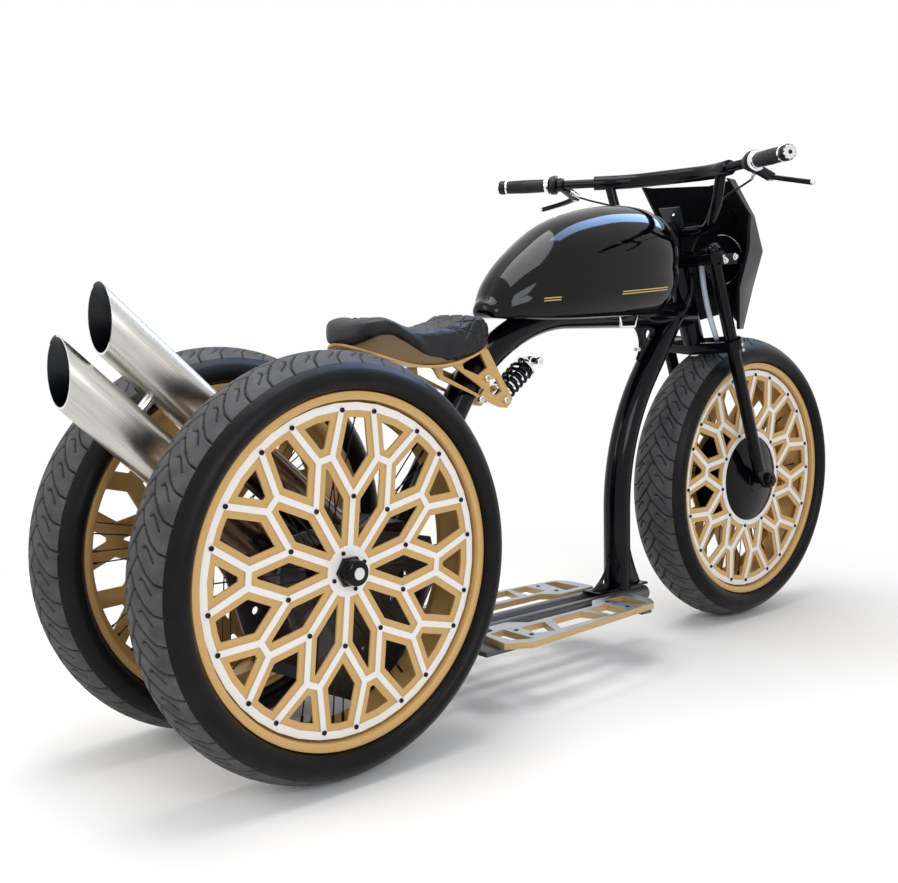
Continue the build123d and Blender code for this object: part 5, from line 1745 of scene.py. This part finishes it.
def mix_surfaces(finish, share, first, second):
    """Shows a blend of two shaders: the first where the share is 0, the second where it is 1."""
    mix = node(finish, "ShaderNodeMixShader")
    link(finish, share, mix.inputs["Fac"])
    link(finish, first, mix.inputs[1])
    link(finish, second, mix.inputs[2])
    link(finish, mix.outputs["Shader"], finish.node_tree.nodes["Material Output"].inputs["Surface"])


def hang_sky_panel(centre, target, width, depth, strength):
    """A pale blue panel that only gloss shows: other rays pass through it."""
    bpy.ops.object.select_all(action="DESELECT")
    bpy.ops.mesh.primitive_plane_add(size=1)
    panel = bpy.context.object
    panel.name = "sky_panel"
    turn = (Vector(target) - Vector(centre)).to_track_quat("-Z", "Y").to_matrix().to_4x4()
    panel.data.transform(Matrix.Translation(centre) @ turn @ Matrix.Diagonal((width, depth, 1, 1)))
    finish = bare_finish("sky_panel")
    path = node(finish, "ShaderNodeLightPath")
    clear = node(finish, "ShaderNodeBsdfTransparent")
    sky = node(finish, "ShaderNodeEmission", Color=sky_blue, Strength=strength)
    mix_surfaces(finish, path.outputs["Is Glossy Ray"], clear.outputs["BSDF"], sky.outputs["Emission"])
    finish.cycles.emission_sampling = "NONE"
    panel.data.materials.append(finish)


def greater(finish, one, two):
    """The greater of two values."""
    made = node(finish, "ShaderNodeMath", operation="MAXIMUM")
    link(finish, one, made.inputs[0])
    link(finish, two, made.inputs[1])
    return made.outputs[0]


def light_world():
    """A white surround for the camera, reflections and glass, and a dimmer one for the light it gives."""
    world = bpy.data.worlds.new("studio")
    bpy.context.scene.world = world
    world.use_nodes = True
    path = node(world, "ShaderNodeLightPath")
    clear_or_gloss = greater(world, path.outputs["Is Glossy Ray"], path.outputs["Is Transmission Ray"])
    seen = greater(world, path.outputs["Is Camera Ray"], clear_or_gloss)
    background = world.node_tree.nodes["Background"]
    background.inputs["Color"].default_value = plain_white
    link(world, ranged(world, seen, surround_light, 1.0, 0.0, 1.0), background.inputs["Strength"])


def lay_floor():
    """A pale floor that turns to plain white away from the trike."""
    bpy.ops.mesh.primitive_plane_add(size=floor_size, location=(0, 0, -0.0005))
    floor = bpy.context.object
    floor.name = "floor"
    finish = bare_finish("studio_floor")
    matt = node(finish, "ShaderNodeBsdfDiffuse", Color=floor_white)
    white = node(finish, "ShaderNodeEmission", Color=plain_white, Strength=1.0)
    source = node(finish, "ShaderNodeTexCoord")
    reach = node(finish, "ShaderNodeVectorMath", operation="LENGTH")
    link(finish, source.outputs["Object"], reach.inputs[0])
    fade = node(finish, "ShaderNodeMapRange", interpolation_type="SMOOTHSTEP")
    fade.inputs["From Min"].default_value = fade_start
    fade.inputs["From Max"].default_value = fade_end
    link(finish, reach.outputs["Value"], fade.inputs["Value"])
    mix_surfaces(finish, fade.outputs["Result"], matt.outputs["BSDF"], white.outputs["Emission"])
    floor.data.materials.append(finish)


light_world()
lay_floor()
add_area_light("overhead_box", (-0.5, 0.2, 3.1), (0, 0, 0.4), 2.6, 1.5, 62)
add_area_light("side_box", (-1.2, -3.2, 1.8), (0, 0, 0.5), 1.6, 1.2, 34, (0.94, 0.97, 1.0))
add_area_light("rear_box", (-3.0, 0.6, 1.8), (0, 0, 0.5), 1.4, 1.4, 22, (1.0, 0.98, 0.95))
hang_sky_panel((1.5, 0.1, 3.1), (0.2, -0.1, 0.9), width=0.75, depth=2.9, strength=12.0)
bpy.context.scene.view_settings.view_transform = "Standard"
